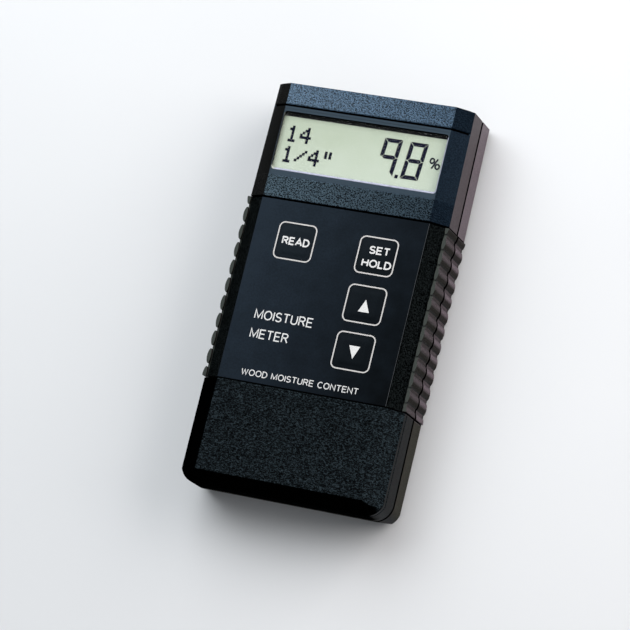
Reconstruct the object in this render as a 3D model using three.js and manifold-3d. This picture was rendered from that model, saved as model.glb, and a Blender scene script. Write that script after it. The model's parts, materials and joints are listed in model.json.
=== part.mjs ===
// Hand-held moisture meter, in millimetres, +Z up.
//
// The meter lies on its back: the measuring face is down on z = 0, and the display and keys face up.
// +Y points to the display end. The origin is the middle of the case outline, on the measuring face.
// The case is two shells screwed together from the back. The lower end holds a nine-volt battery
// behind a sliding door; the rest holds the main board, the display, four keys and, against the
// back, the flat electrodes that do the measuring.

import * as THREE from 'three';
import { mergeVertices } from 'three/addons/utils/BufferGeometryUtils.js';
import Module from 'manifold-3d';

// ---------------------------------------------------------------- driving dimensions

// Case
const CASE_LENGTH = 140;
const CASE_HALF_LENGTH = CASE_LENGTH / 2;
const FACE_Z = 24.4;              // front face, above the measuring face
const PARTING_Z = 11.2;           // joint between front and rear shells
const PARTING_GAP = 0.3;
const PARTING_GROOVE_WIDTH = 0.8; // shadow line cut into the rear shell's rim, below the gap
const PARTING_GROOVE_DEPTH = 1.3;
const WALL = 2;
const HALF_WIDTH_HEAD_END = 35.4; // the case widens slowly from the display end to the foot
const HALF_WIDTH_HEAD = 35.9;     // where the head meets the grip zone
const HALF_WIDTH_GRIP = 36.2;     // where the grip zone meets the foot
const HALF_WIDTH_FOOT = 36.5;
const SIDE_DRAFT_FRONT = 0.4;     // the side walls lean in from the parting joint to each bevel
const SIDE_DRAFT_REAR = 0.2;
const FLAT_HALF_WIDTH = 29.9;     // flat part of the front face
const CORNER_RADIUS = 6.5;        // rounded corners of the battery end
const CORNER_STEPS = 8;
const FRONT_BEVEL_DEPTH = 4.1;
const FRONT_BEVEL_END_WIDTH = 4.4;
const REAR_BEVEL_DEPTH = 2.2;
const REAR_BEVEL_WIDTH = 1.9;
const REAR_BEVEL_PULL = 0.4;      // share of an inset by which the rear bevel's edges move
const FOOT_RETREAT = 2.2;         // slope of the rear shell's battery end

// Grip zone between head and foot
const GRIP_TOP_Y = 29.9;
const GRIP_BOTTOM_Y = -34.3;
const GRIP_FACE_STEP = 0.6;       // how far the face of the zone lies below head and foot
const GRIP_WALL_STEP = 0.15;      // the same for its side walls and bevels
const ZONE_GROOVE_WIDTH = 0.5;    // dark line round the case at each end of the zone
const ZONE_GROOVE_DEPTH = 1.1;
const LEFT_RIBS = { side: -1, pitch: 6.25, firstValley: 3.7 };  // offsets down from the zone's top
const RIGHT_RIBS = { side: 1, pitch: 5.27, firstValley: 3.2 };
const RIB_HEIGHT = 0.6;
const RIB_SHARE = 0.8;            // share of the pitch taken by a rib, the rest is flat
const RIB_STEPS = 12;
const RIB_BACK = 0.45;            // how far each rib reaches back into the leaning wall
const RIB_TIP = 0.25;             // how much further it reaches in at its crest
const RIB_TOP_Z = 21.7;           // the ribs stand above the outer edge of the bevels
const RIB_TUCK = 0.6;             // how far the ribs run down into the rear bevel
const RIB_BLUNTNESS = 0.7;        // power of a sine wave, below 1 for a blunter crest

// Shadow line along the foot, just below its front bevel
const FOOT_LINE_Z = 18.2;
const FOOT_LINE_WIDTH = 0.6;
const FOOT_LINE_DEPTH = 0.4;

// Head groove and display
const GROOVE_Y = 62.2;
const GROOVE_WIDTH = 0.5;
const GROOVE_DEPTH = 0.4;
const FIELD_TOP_Y = 61.1;         // shallow field round the display
const FIELD_BOTTOM_Y = 37.6;
const FIELD_DEPTH = 0.12;
const FIELD_MARGIN = 0.25;        // strip of full height left beside the field
const VIEW_LEFT_X = -29.75;       // the opening reaches the bevels on both sides
const VIEW_RIGHT_X = 29.75;
const VIEW_BOTTOM_Y = 39.4;
const VIEW_TOP_Y = 60.2;
const VIEW_CORNER = 1.2;
const VIEW_LIP = 0.9;             // thickness of the rim over the window's edge
const WINDOW_THICKNESS = 0.6;
const WINDOW_MARGIN = 0.7;        // how far the window reaches under the rim
const WINDOW_CORNER = 0.6;
const LCD_HALF_WIDTH = 30.1;
const LCD_BOTTOM_Y = 37.4;
const LCD_TOP_Y = 61.2;
const LCD_TOP_Z = 22.7;
const LCD_BOTTOM_Z = 20.3;
const HOLDER_WALL = 1.4;
const HOLDER_TOP_Z = 22.1;
const FIT_GAP = 0.2;
const CONTACT_GAP = 0.1;

// Boards
const BOARD_THICKNESS = 1.6;
const BOARD_TOP_Z = 18.4;
const BOARD_BOTTOM_Z = BOARD_TOP_Z - BOARD_THICKNESS;
const BOARD_HALF_WIDTH = 31;
const BOARD_TOP_Y = 62.6;
const BOARD_BOTTOM_Y = -31;
const CAVITY_TOP_Z = 22;          // inner side of the front face
const CHIPS = {
  microcontroller: { x: 0, y: 8, width: 14, length: 14, height: 2 },
  amplifier: { x: -18, y: 6, width: 6, length: 10, height: 1.8 },
  crystal: { x: 17, y: 14, width: 4.7, length: 11, height: 3.5 },
  regulator: { x: 11, y: -20, width: 4.6, length: 4.2, height: 1.7 },
};
const CAPACITOR = { x: -17, y: -20, radius: 3.15, height: 7 };
const ZEBRA = { halfLength: 27, halfThickness: 1, inset: 1.6 };

// Keys
const KEY_WIDTH = 12.2;
const KEY_LENGTH = 11.4;
const KEY_CORNER = 1.9;
const KEY_GAP = 0.2;
const KEY_TRAVEL = 0.4;
const KEY_STOP_GAP = 0.05;
const KEY_EDGE = 0.2;             // small bevel round the top of each key
const KEY_FLANGE = 1.1;           // flange that stops the key under the shell
const KEY_FLANGE_TOP_Z = CAVITY_TOP_Z - KEY_STOP_GAP;
const KEY_FLANGE_THICKNESS = 0.8;
const KEY_FLANGE_BOTTOM_Z = KEY_FLANGE_TOP_Z - KEY_FLANGE_THICKNESS;
const KEY_STEPS = 5;
const PLUNGER_RADIUS = 2;
const PLUNGER_ROOT = 0.3;         // how far the plunger runs into the flange
const DOME_RADIUS = 4.2;
const DOME_HEIGHT = 0.55;
const DOME_SKIN = 0.2;
const DOME_STEPS = 4;
const FILM_THICKNESS = 0.4;
const FILM_MARGIN = 0.1;
const FILM_HALF_WIDTH = 30.1;
const KEYS = [
  { name: 'read_key', x: -14.65, y: 15.75 },
  { name: 'set_hold_key', x: 14.7, y: 15.4 },
  { name: 'up_key', x: 14.7, y: -1.4 },
  { name: 'down_key', x: 14.7, y: -17.7 },
];

// Fastening points
const HEAD_SCREW = { x: 30, y: 66 };
const MID_SCREW = { x: 29.5, y: -35 };
const CASE_BOSS_RADIUS = 3;
const CASE_SCREW_HOLE = 1.45;
const COUNTERBORE_RADIUS = 2.7;
const COUNTERBORE_DEPTH = 6;
const BOARD_SCREW = { x: 26.5, topY: 31.2, bottomY: -28 };
const BOARD_BOSS_RADIUS = 2.3;
const BOARD_SCREW_HOLE = 1.15;
const SENSOR_SCREW = { x: 25.2, topY: 56.4, bottomY: -12.4 };
const CASE_SCREW = { headRadius: 2.3, headHeight: 1.8, shankRadius: 1.15, shankLength: 13 };
const BOARD_SCREW_SIZE = { headRadius: 1.9, headHeight: 1.3, shankRadius: 0.85, shankLength: 4.4 };
const SENSOR_SCREW_SIZE = { headRadius: 1.9, headHeight: 1.3, shankRadius: 0.85, shankLength: 4 };
const REAR_BOSS_RADIUS = 3.6;
const BOSS_ROOT = 0.5;            // how far bosses and partitions run into the wall they stand on
const REAR_ROOT_INSET = 1.6;      // inset of the rear form that bosses and rails are trimmed to
const CASE_SCREW_STOP = 2;        // solid left above a case screw's hole, below the front face
const BOARD_SCREW_STOP = 0.4;
const SCREW_FACE = 0.75;          // flat part of a screw's head, as a share of its radius
const SCREW_RIM = 0.55;           // height at which the head turns upright, as a share
const RECESS = { arm: 0.6, halfWidth: 0.13, depth: 0.55 };  // shares of the head's radius and height
const ROUND_STEPS = 16;
const SCREW_STEPS = 12;

// Measuring side
const PAD_HALF_WIDTH = 22;
const PAD_TOP_Y = 54;
const PAD_BOTTOM_Y = -10;
const PAD_CORNER = 3;
const PAD_FLANGE = 1.8;
const PAD_FLANGE_THICKNESS = 1.2;
const PLATE_THICKNESS = 0.6;
const SENSOR_BOARD_BOTTOM_Z = WALL + PAD_FLANGE_THICKNESS + PLATE_THICKNESS;
const SENSOR_BOARD_TOP_Z = SENSOR_BOARD_BOTTOM_Z + BOARD_THICKNESS;
const SENSOR_BOARD_HALF_WIDTH = 27.5;
const SENSOR_BOARD_EDGE = 2.5;    // board left beyond its screws
const PLATE = { halfWidth: 7, margin: 8 };
const RING = { halfWidth: 19, margin: 2, innerHalfWidth: 12, innerMargin: 5 };
const HEADER = { halfWidth: 7.6, bottomY: 26, topY: 28.5, splitZ: 13.9 };

// Battery bay
const BAY_WALL_Y = -37.1;         // partition between electronics and battery
const BAY_WALL_THICKNESS = 1.1;
const BAY_OPENING = 10;           // room for the leads, beside the right-hand screw
const DOOR_TOP_Y = -38.6;
const DOOR_HALF_WIDTH = 26.8;
const DOOR_END_HALF_WIDTH = 28.3;
const DOOR_END_Y = -66;
const DOOR_LIP_Z = 7;
const DOOR_GAP = 0.3;
const TONGUE_INNER_X = 24.8;
const TONGUE_OUTER_X = 28.3;
const TONGUE_BOTTOM_Z = WALL + DOOR_GAP;
const TONGUE_TOP_Z = 3.3;
const RAIL_TOP_Z = 4.8;
const RAIL_START_Y = DOOR_END_Y + 1;
const TONGUE_SETBACK = 0.5;       // how much shorter the tongues' outer edges are at each end
const THUMB_GROOVE_START = 5;     // from the door's upper edge
const THUMB_GROOVE = {
  count: 5, pitch: 2.2, firstY: DOOR_TOP_Y - THUMB_GROOVE_START, halfLength: 9, halfWidth: 0.55, depth: 0.7,
};
const BATTERY_LENGTH = 46.4;
const BATTERY_WIDTH = 26.5;
const BATTERY_DEPTH = 17.5;
const BATTERY_LEFT_X = -25.4;
const BATTERY_Y = -52.1;
const BATTERY_BOTTOM_Z = 4;
const TERMINAL_SPACING = 12.7;
const BATTERY_CORNER = 2;
const TERMINAL_HEIGHT = 2.2;
const POSITIVE_RADIUS = 2.9;
const NEGATIVE_RADIUS = 4.2;
const SNAP = { gap: 0.3, thickness: 2.4, halfLength: 11.5, halfHeight: 5.5 };
const BATTERY_PAD = { halfWidth: 12, halfLength: 8 };
const LEAD_RADIUS = 0.75;
const LEAD_STEPS = 16;
const RED_ROUTE = [
  [27, -46, 13.5], [28.8, -44, 14.2], [28, -41, 14.6],
  [24, -36.5, 14.6], [21.6, -30, 15.2], [21.2, -27, 16],
];
const BLACK_ROUTE = [
  [27, -51, 11], [29.6, -48, 11.4], [28.2, -42, 11.6],
  [23.4, -36.5, 12], [18.6, -31, 13.2], [17.4, -27, 15.8],
];

const REACH = 100;                // larger than the case, for cutting boxes
const OVERCUT = 1;                // how far a cut runs past the face it opens

// ---------------------------------------------------------------- materials

// Colour, roughness and metalness of each finish.
const FINISHES = {
  case: [0x1b2229, 0.55, 0],
  film: [0x161d27, 0.42, 0],
  key: [0x18202b, 0.42, 0],
  window: [0xdfe6dc, 0.08, 0],
  displayGlass: [0xc6cfb8, 0.25, 0],
  blackPlastic: [0x0c0d0f, 0.6, 0],
  smoothBlack: [0x0c0d0f, 0.35, 0],
  rubber: [0x5b5e63, 0.8, 0],
  board: [0x1e5a34, 0.5, 0],
  chip: [0x15161a, 0.6, 0],
  steel: [0xb9bcc0, 0.3, 1],
  zinc: [0x8d9094, 0.35, 1],
  copper: [0xc28a4e, 0.35, 1],
  foam: [0x2b2b2d, 0.95, 0],
  batteryCan: [0x24282c, 0.4, 0],
  redInsulation: [0xa81f1c, 0.5, 0],
  blackInsulation: [0x0c0d0f, 0.5, 0],
};
const WINDOW_OPACITY = 0.25;

function finish(name) {
  const [color, roughness, metalness] = FINISHES[name];
  return new THREE.MeshStandardMaterial({ color, roughness, metalness });
}

function windowFinish() {
  const clear = finish('window');
  clear.transparent = true;
  clear.opacity = WINDOW_OPACITY;
  return clear;
}

// ---------------------------------------------------------------- solid tools

const wasm = await Module();
wasm.setup();

function solid(geometry) {
  const bare = geometry.index ? geometry.toNonIndexed() : geometry;
  bare.deleteAttribute('normal');
  bare.deleteAttribute('uv');
  const merged = mergeVertices(bare, 1e-4);
  return new wasm.Manifold(new wasm.Mesh({
    numProp: 3,
    vertProperties: new Float32Array(merged.attributes.position.array),
    triVerts: new Uint32Array(merged.index.array),
  }));
}

function geometryOf(manifold) {
  const mesh = manifold.getMesh();
  const geometry = new THREE.BufferGeometry();
  geometry.setAttribute('position', new THREE.BufferAttribute(new Float32Array(mesh.vertProperties), 3));
  geometry.setIndex(new THREE.BufferAttribute(new Uint32Array(mesh.triVerts), 1));
  return geometry;
}

const meter = new THREE.Group();

function addPiece(name, manifold, pieceMaterial) {
  const flat = geometryOf(manifold).toNonIndexed();
  flat.computeVertexNormals();
  const mesh = new THREE.Mesh(flat, pieceMaterial);
  mesh.name = name;
  meter.add(mesh);
  return mesh;
}

function box(x0, x1, y0, y1, z0, z1) {
  const geometry = new THREE.BoxGeometry(x1 - x0, y1 - y0, z1 - z0);
  geometry.translate((x0 + x1) / 2, (y0 + y1) / 2, (z0 + z1) / 2);
  return solid(geometry);
}

function extrudeUp(shape, z0, z1, steps = CORNER_STEPS) {
  const geometry = new THREE.ExtrudeGeometry(shape, {
    depth: z1 - z0,
    bevelEnabled: false,
    curveSegments: steps,
  });
  geometry.translate(0, 0, z0);
  return solid(geometry);
}

function post(x, y, z0, z1, radius, steps = ROUND_STEPS) {
  const geometry = new THREE.CylinderGeometry(radius, radius, z1 - z0, steps);
  geometry.rotateX(Math.PI / 2);
  geometry.translate(x, y, (z0 + z1) / 2);
  return solid(geometry);
}

// A turned piece with an upright axis: profile points are [radius, height].
function turned(x, y, z, points, steps = ROUND_STEPS) {
  const geometry = new THREE.LatheGeometry(points.map(([r, h]) => new THREE.Vector2(r, h)), steps);
  geometry.rotateX(Math.PI / 2);
  geometry.translate(x, y, z);
  return solid(geometry);
}

function roundedRectangle(x0, x1, y0, y1, radius) {
  const shape = new THREE.Shape();
  shape.moveTo(x0 + radius, y0);
  shape.lineTo(x1 - radius, y0);
  shape.absarc(x1 - radius, y0 + radius, radius, -Math.PI / 2, 0);
  shape.lineTo(x1, y1 - radius);
  shape.absarc(x1 - radius, y1 - radius, radius, 0, Math.PI / 2);
  shape.lineTo(x0 + radius, y1);
  shape.absarc(x0 + radius, y1 - radius, radius, Math.PI / 2, Math.PI);
  shape.lineTo(x0, y0 + radius);
  shape.absarc(x0 + radius, y0 + radius, radius, Math.PI, Math.PI * 1.5);
  return shape;
}

function roundedBlock(x0, x1, y0, y1, z0, z1, radius, steps = 4) {
  return extrudeUp(roundedRectangle(x0, x1, y0, y1, radius), z0, z1, steps);
}

function join(parts) {
  return parts.reduce((whole, part) => whole.add(part));
}

// ---------------------------------------------------------------- case form

// Outline of the case seen from the front, pulled in by `inset`. It runs past the head end, where
// the end wall cuts it square.
function caseOutline(inset) {
  const grip = HALF_WIDTH_GRIP - inset;
  const neck = HALF_WIDTH_HEAD - inset;
  const foot = HALF_WIDTH_FOOT - inset;
  const head = HALF_WIDTH_HEAD_END - inset;
  const end = -CASE_HALF_LENGTH + inset;
  const radius = Math.max(CORNER_RADIUS - inset, 1);
  const beyond = CASE_HALF_LENGTH + REACH;
  const shape = new THREE.Shape();
  shape.moveTo(-foot + radius, end);
  shape.lineTo(foot - radius, end);
  shape.absarc(foot - radius, end + radius, radius, -Math.PI / 2, 0);
  shape.lineTo(grip, GRIP_BOTTOM_Y);
  shape.lineTo(neck, GRIP_TOP_Y);
  shape.lineTo(head, CASE_HALF_LENGTH);
  shape.lineTo(head, beyond);
  shape.lineTo(-head, beyond);
  shape.lineTo(-head, CASE_HALF_LENGTH);
  shape.lineTo(-neck, GRIP_TOP_Y);
  shape.lineTo(-grip, GRIP_BOTTOM_Y);
  shape.lineTo(-foot, end + radius);
  shape.absarc(-foot + radius, end + radius, radius, Math.PI, Math.PI * 1.5);
  return shape;
}

// Upright prism of the case outline with a straight bevel of the given width and depth on its
// front and back edges. `inset` moves every face inward by the same distance.
function bevelledPrism(inset, zBack, zFront, width, depth) {
  const angle = Math.atan2(depth, width);
  const bevelWidth = width - inset * (1 - Math.tan(angle / 2));
  const bevelDepth = depth - inset * (1 - Math.tan((Math.PI / 2 - angle) / 2));
  const geometry = new THREE.ExtrudeGeometry(caseOutline(inset + bevelWidth), {
    depth: zFront - zBack - 2 * inset - 2 * bevelDepth,
    bevelEnabled: true,
    bevelSegments: 1,
    bevelSize: bevelWidth,
    bevelThickness: bevelDepth,
    curveSegments: CORNER_STEPS,
  });
  geometry.translate(0, 0, zBack + inset + bevelDepth);
  return solid(geometry);
}

// Cross-section of the whole case, extruded along its length.
function crossSection(inset) {
  const frontHalf = HALF_WIDTH_FOOT - SIDE_DRAFT_FRONT;
  const rearHalf = HALF_WIDTH_FOOT - SIDE_DRAFT_REAR;
  const bevelAngle = Math.atan2(FRONT_BEVEL_DEPTH, frontHalf - FLAT_HALF_WIDTH);
  const flat = FLAT_HALF_WIDTH - inset * Math.tan(bevelAngle / 2);
  const shoulderZ = FACE_Z - FRONT_BEVEL_DEPTH - inset * Math.tan((Math.PI / 2 - bevelAngle) / 2);
  const rearEdgeZ = REAR_BEVEL_DEPTH + inset * REAR_BEVEL_PULL;
  const rearFlat = rearHalf - REAR_BEVEL_WIDTH - inset * REAR_BEVEL_PULL;
  const right = [
    [rearFlat, inset],
    [rearHalf - inset, rearEdgeZ],
    [HALF_WIDTH_FOOT - inset, PARTING_Z],
    [frontHalf - inset, shoulderZ],
    [flat, FACE_Z - inset],
  ];
  const left = right.map(([x, z]) => [-x, z]).reverse();
  const shape = new THREE.Shape([...right, ...left].map(([x, z]) => new THREE.Vector2(x, z)));
  const geometry = new THREE.ExtrudeGeometry(shape, { depth: 2 * REACH, bevelEnabled: false });
  geometry.rotateX(Math.PI / 2);
  geometry.translate(0, REACH, 0);
  return solid(geometry);
}

// Wedge that slopes the rear shell's battery end inward towards the back.
function footWedge(inset) {
  const end = -CASE_HALF_LENGTH + inset;
  const shape = new THREE.Shape([
    new THREE.Vector2(end - REACH, PARTING_Z),
    new THREE.Vector2(end - REACH, -OVERCUT),
    new THREE.Vector2(end + FOOT_RETREAT, -OVERCUT),
    new THREE.Vector2(end, PARTING_Z),
  ]);
  const geometry = new THREE.ExtrudeGeometry(shape, { depth: 2 * REACH, bevelEnabled: false });
  geometry.rotateX(Math.PI / 2);
  geometry.rotateZ(Math.PI / 2);
  geometry.translate(-REACH, 0, 0);
  return solid(geometry);
}

function frontForm(inset) {
  return bevelledPrism(inset, -REACH, FACE_Z, FRONT_BEVEL_END_WIDTH, FRONT_BEVEL_DEPTH)
    .intersect(crossSection(inset))
    .intersect(box(-REACH, REACH, -REACH, CASE_HALF_LENGTH - inset, -REACH, REACH));
}

function rearForm(inset) {
  return bevelledPrism(inset, 0, REACH, REAR_BEVEL_WIDTH, REAR_BEVEL_DEPTH)
    .intersect(crossSection(inset))
    .intersect(box(-REACH, REACH, -REACH, CASE_HALF_LENGTH - inset, -REACH, REACH))
    .subtract(footWedge(inset));
}

function gripBand(z0, z1) {
  return box(-REACH, REACH, GRIP_BOTTOM_Y, GRIP_TOP_Y, z0, z1);
}

// Slabs that hold the two grooves at the ends of the grip zone.
function zoneGrooves(z0, z1) {
  const lower = box(-REACH, REACH, GRIP_BOTTOM_Y, GRIP_BOTTOM_Y + ZONE_GROOVE_WIDTH, z0, z1);
  const upper = box(-REACH, REACH, GRIP_TOP_Y - ZONE_GROOVE_WIDTH, GRIP_TOP_Y, z0, z1);
  return lower.add(upper);
}

// Plan outline of one grip rib: a low bump outside, a shallower one inside the wall.
function ribOutline(side, startY, length) {
  const wallAt = (y) => {
    const share = (y - GRIP_BOTTOM_Y) / (GRIP_TOP_Y - GRIP_BOTTOM_Y);
    return HALF_WIDTH_GRIP + (HALF_WIDTH_HEAD - HALF_WIDTH_GRIP) * share - GRIP_WALL_STEP;
  };
  const swell = (step) => Math.sin((Math.PI * step) / RIB_STEPS) ** RIB_BLUNTNESS;
  const yAt = (step) => startY + (length * step) / RIB_STEPS;
  const points = [];
  for (let step = 0; step <= RIB_STEPS; step += 1) {
    points.push([wallAt(yAt(step)) + RIB_HEIGHT * swell(step), yAt(step)]);
  }
  for (let step = RIB_STEPS; step >= 0; step -= 1) {
    points.push([wallAt(yAt(step)) - RIB_BACK - RIB_TIP * swell(step), yAt(step)]);
  }
  const placed = points.map(([x, y]) => new THREE.Vector2(side * x, y));
  return new THREE.Shape(side > 0 ? placed : placed.reverse());
}

// The rows of ribs on both side walls, cut off at the ends of the grip zone.
function ribRows(z0, z1) {
  let ribs;
  for (const { side, pitch, firstValley } of [LEFT_RIBS, RIGHT_RIBS]) {
    const count = Math.ceil((GRIP_TOP_Y - GRIP_BOTTOM_Y - firstValley) / pitch) + 1;
    for (let rib = 0; rib < count; rib += 1) {
      const middle = GRIP_TOP_Y - firstValley - pitch * (rib - 0.5);
      const length = pitch * RIB_SHARE;
      const piece = extrudeUp(ribOutline(side, middle - length / 2, length), z0, z1);
      ribs = ribs ? ribs.add(piece) : piece;
    }
  }
  return ribs.intersect(box(
    -REACH, REACH,
    GRIP_BOTTOM_Y + ZONE_GROOVE_WIDTH, GRIP_TOP_Y - ZONE_GROOVE_WIDTH,
    z0, z1,
  ));
}

// ---------------------------------------------------------------- front shell

function keyHole(key, z0, z1) {
  const halfWidth = KEY_WIDTH / 2 + KEY_GAP;
  const halfLength = KEY_LENGTH / 2 + KEY_GAP;
  return roundedBlock(
    key.x - halfWidth, key.x + halfWidth,
    key.y - halfLength, key.y + halfLength,
    z0, z1, KEY_CORNER + KEY_GAP,
  );
}

const caseScrewSpots = [
  [-HEAD_SCREW.x, HEAD_SCREW.y],
  [HEAD_SCREW.x, HEAD_SCREW.y],
  [-MID_SCREW.x, MID_SCREW.y],
  [MID_SCREW.x, MID_SCREW.y],
];

const boardScrewSpots = [
  [-BOARD_SCREW.x, BOARD_SCREW.topY],
  [BOARD_SCREW.x, BOARD_SCREW.topY],
  [-BOARD_SCREW.x, BOARD_SCREW.bottomY],
  [BOARD_SCREW.x, BOARD_SCREW.bottomY],
];

const sensorScrewSpots = [
  [-SENSOR_SCREW.x, SENSOR_SCREW.topY],
  [SENSOR_SCREW.x, SENSOR_SCREW.topY],
  [-SENSOR_SCREW.x, SENSOR_SCREW.bottomY],
  [SENSOR_SCREW.x, SENSOR_SCREW.bottomY],
];

function frontShell() {
  const seamZ = PARTING_Z + PARTING_GAP / 2;
  const outer = frontForm(0);
  const gripForm = frontForm(GRIP_WALL_STEP)
    .intersect(box(-REACH, REACH, -REACH, REACH, -REACH, FACE_Z - GRIP_FACE_STEP));
  const bevelTop = FACE_Z - FRONT_BEVEL_DEPTH;
  const grooveSlab = box(
    -REACH, REACH,
    GROOVE_Y - GROOVE_WIDTH / 2, GROOVE_Y + GROOVE_WIDTH / 2,
    bevelTop, REACH,
  );
  const cavity = frontForm(WALL).intersect(box(-REACH, REACH, -REACH, REACH, -REACH, CAVITY_TOP_Z));

  let shell = outer.subtract(gripBand(-REACH, REACH)).add(gripForm.intersect(gripBand(-REACH, REACH)));
  shell = shell.subtract(grooveSlab).add(frontForm(GROOVE_DEPTH).intersect(grooveSlab));
  shell = shell.add(ribRows(seamZ, RIB_TOP_Z));
  shell = shell.subtract(zoneGrooves(-REACH, REACH).subtract(frontForm(ZONE_GROOVE_DEPTH)));
  const footLine = box(-REACH, REACH, -REACH, GRIP_BOTTOM_Y, FOOT_LINE_Z, FOOT_LINE_Z + FOOT_LINE_WIDTH);
  shell = shell.subtract(footLine.subtract(frontForm(FOOT_LINE_DEPTH)));
  shell = shell.intersect(box(-REACH, REACH, -REACH, REACH, seamZ, REACH));
  shell = shell.subtract(cavity);

  // Shallow field round the display, pockets for its holder, glass and window, view opening.
  shell = shell.subtract(box(
    -FLAT_HALF_WIDTH + FIELD_MARGIN, FLAT_HALF_WIDTH - FIELD_MARGIN,
    FIELD_BOTTOM_Y, FIELD_TOP_Y,
    FACE_Z - FIELD_DEPTH, REACH,
  ));
  const holderReach = HOLDER_WALL + 2 * FIT_GAP;
  const windowReach = WINDOW_MARGIN + FIT_GAP;
  shell = shell.subtract(box(
    -LCD_HALF_WIDTH - holderReach, LCD_HALF_WIDTH + holderReach,
    LCD_BOTTOM_Y - holderReach, LCD_TOP_Y + holderReach,
    seamZ, HOLDER_TOP_Z + CONTACT_GAP,
  ));
  shell = shell.subtract(box(
    -LCD_HALF_WIDTH - FIT_GAP, LCD_HALF_WIDTH + FIT_GAP,
    LCD_BOTTOM_Y - FIT_GAP, LCD_TOP_Y + FIT_GAP,
    seamZ, LCD_TOP_Z + CONTACT_GAP,
  ));
  shell = shell.subtract(box(
    VIEW_LEFT_X - windowReach, VIEW_RIGHT_X + windowReach,
    VIEW_BOTTOM_Y - windowReach, VIEW_TOP_Y + windowReach,
    seamZ, FACE_Z - VIEW_LIP,
  ));
  shell = shell.subtract(roundedBlock(
    VIEW_LEFT_X, VIEW_RIGHT_X, VIEW_BOTTOM_Y, VIEW_TOP_Y, seamZ, REACH, VIEW_CORNER,
  ));

  for (const key of KEYS) {
    shell = shell.subtract(keyHole(key, seamZ, REACH));
  }

  // Bosses for the case screws and the board screws.
  const inside = frontForm(WALL / 2);
  for (const [x, y] of caseScrewSpots) {
    shell = shell.add(post(x, y, seamZ, CAVITY_TOP_Z + BOSS_ROOT, CASE_BOSS_RADIUS).intersect(inside));
    shell = shell.subtract(post(x, y, 0, CAVITY_TOP_Z - CASE_SCREW_STOP, CASE_SCREW_HOLE));
  }
  for (const [x, y] of boardScrewSpots) {
    shell = shell.add(post(x, y, BOARD_TOP_Z, CAVITY_TOP_Z + BOSS_ROOT, BOARD_BOSS_RADIUS));
    shell = shell.subtract(post(x, y, 0, CAVITY_TOP_Z - BOARD_SCREW_STOP, BOARD_SCREW_HOLE));
  }

  // Partition above the battery, open on the right for the battery leads.
  const partition = box(
    -REACH, MID_SCREW.x - BAY_OPENING,
    BAY_WALL_Y - BAY_WALL_THICKNESS, BAY_WALL_Y,
    seamZ, CAVITY_TOP_Z + BOSS_ROOT,
  );
  return shell.add(partition.intersect(inside));
}

// ---------------------------------------------------------------- rear shell and battery door

const rearSeamZ = PARTING_Z - PARTING_GAP / 2;

function rearWalls() {
  const outer = rearForm(0);
  const recessed = rearForm(GRIP_WALL_STEP);
  const band = gripBand(REAR_BEVEL_DEPTH, REACH);
  const ribEnvelope = crossSection(GRIP_WALL_STEP - RIB_HEIGHT);
  const ribs = ribRows(REAR_BEVEL_DEPTH - RIB_TUCK, rearSeamZ).intersect(ribEnvelope);
  const partingSlab = box(
    -REACH, REACH, -REACH, REACH,
    rearSeamZ - PARTING_GROOVE_WIDTH, PARTING_Z,
  );
  const grooves = zoneGrooves(REAR_BEVEL_DEPTH, REACH).subtract(rearForm(ZONE_GROOVE_DEPTH));
  const body = outer.subtract(band).add(recessed.intersect(band)).add(ribs).subtract(grooves);
  return body
    .subtract(partingSlab.subtract(rearForm(PARTING_GROOVE_DEPTH)))
    .intersect(box(-REACH, REACH, -REACH, REACH, -REACH, rearSeamZ))
    .subtract(rearForm(WALL));
}

function padOutline(grow, z0, z1) {
  return roundedBlock(
    -PAD_HALF_WIDTH - grow, PAD_HALF_WIDTH + grow,
    PAD_BOTTOM_Y - grow, PAD_TOP_Y + grow,
    z0, z1, PAD_CORNER + grow,
  );
}

function rearShell() {
  let shell = rearWalls();
  const inside = rearForm(REAR_ROOT_INSET);

  // Opening for the measuring pad.
  shell = shell.subtract(padOutline(FIT_GAP, -OVERCUT, WALL + OVERCUT));

  // Rails that hold the door's tongues down, one along each side of the battery bay.
  for (const side of [-1, 1]) {
    const near = side * (DOOR_HALF_WIDTH + DOOR_GAP);
    const far = side * REACH;
    const rail = box(
      Math.min(near, far), Math.max(near, far),
      RAIL_START_Y, DOOR_TOP_Y,
      TONGUE_TOP_Z + DOOR_GAP, RAIL_TOP_Z,
    );
    shell = shell.add(rail.intersect(inside));
  }

  // Partition beside the battery.
  const partition = box(-REACH, REACH, BAY_WALL_Y - BAY_WALL_THICKNESS, BAY_WALL_Y, WALL / 2, rearSeamZ);
  shell = shell.add(partition.intersect(inside));

  // Opening for the door, wider through the end wall.
  shell = shell.subtract(box(
    -DOOR_HALF_WIDTH - DOOR_GAP, DOOR_HALF_WIDTH + DOOR_GAP,
    -REACH, DOOR_TOP_Y + DOOR_GAP,
    -OVERCUT, TONGUE_TOP_Z,
  ));
  shell = shell.subtract(box(
    -DOOR_END_HALF_WIDTH - DOOR_GAP, DOOR_END_HALF_WIDTH + DOOR_GAP,
    -REACH, DOOR_END_Y + DOOR_GAP,
    -OVERCUT, DOOR_LIP_Z + DOOR_GAP,
  ));

  // Case screw bosses, with deep counterbores from the back, and posts for the sensor board.
  for (const [x, y] of caseScrewSpots) {
    shell = shell.add(post(x, y, WALL / 2, rearSeamZ, REAR_BOSS_RADIUS).intersect(inside));
    shell = shell.subtract(post(x, y, -OVERCUT, rearSeamZ + OVERCUT, CASE_SCREW_HOLE));
    shell = shell.subtract(post(x, y, -OVERCUT, COUNTERBORE_DEPTH, COUNTERBORE_RADIUS));
  }
  for (const [x, y] of sensorScrewSpots) {
    shell = shell.add(post(x, y, WALL - BOSS_ROOT, SENSOR_BOARD_BOTTOM_Z, BOARD_BOSS_RADIUS));
    shell = shell.subtract(post(x, y, WALL / 2, REACH, BOARD_SCREW_HOLE));
  }
  return shell;
}

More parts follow.
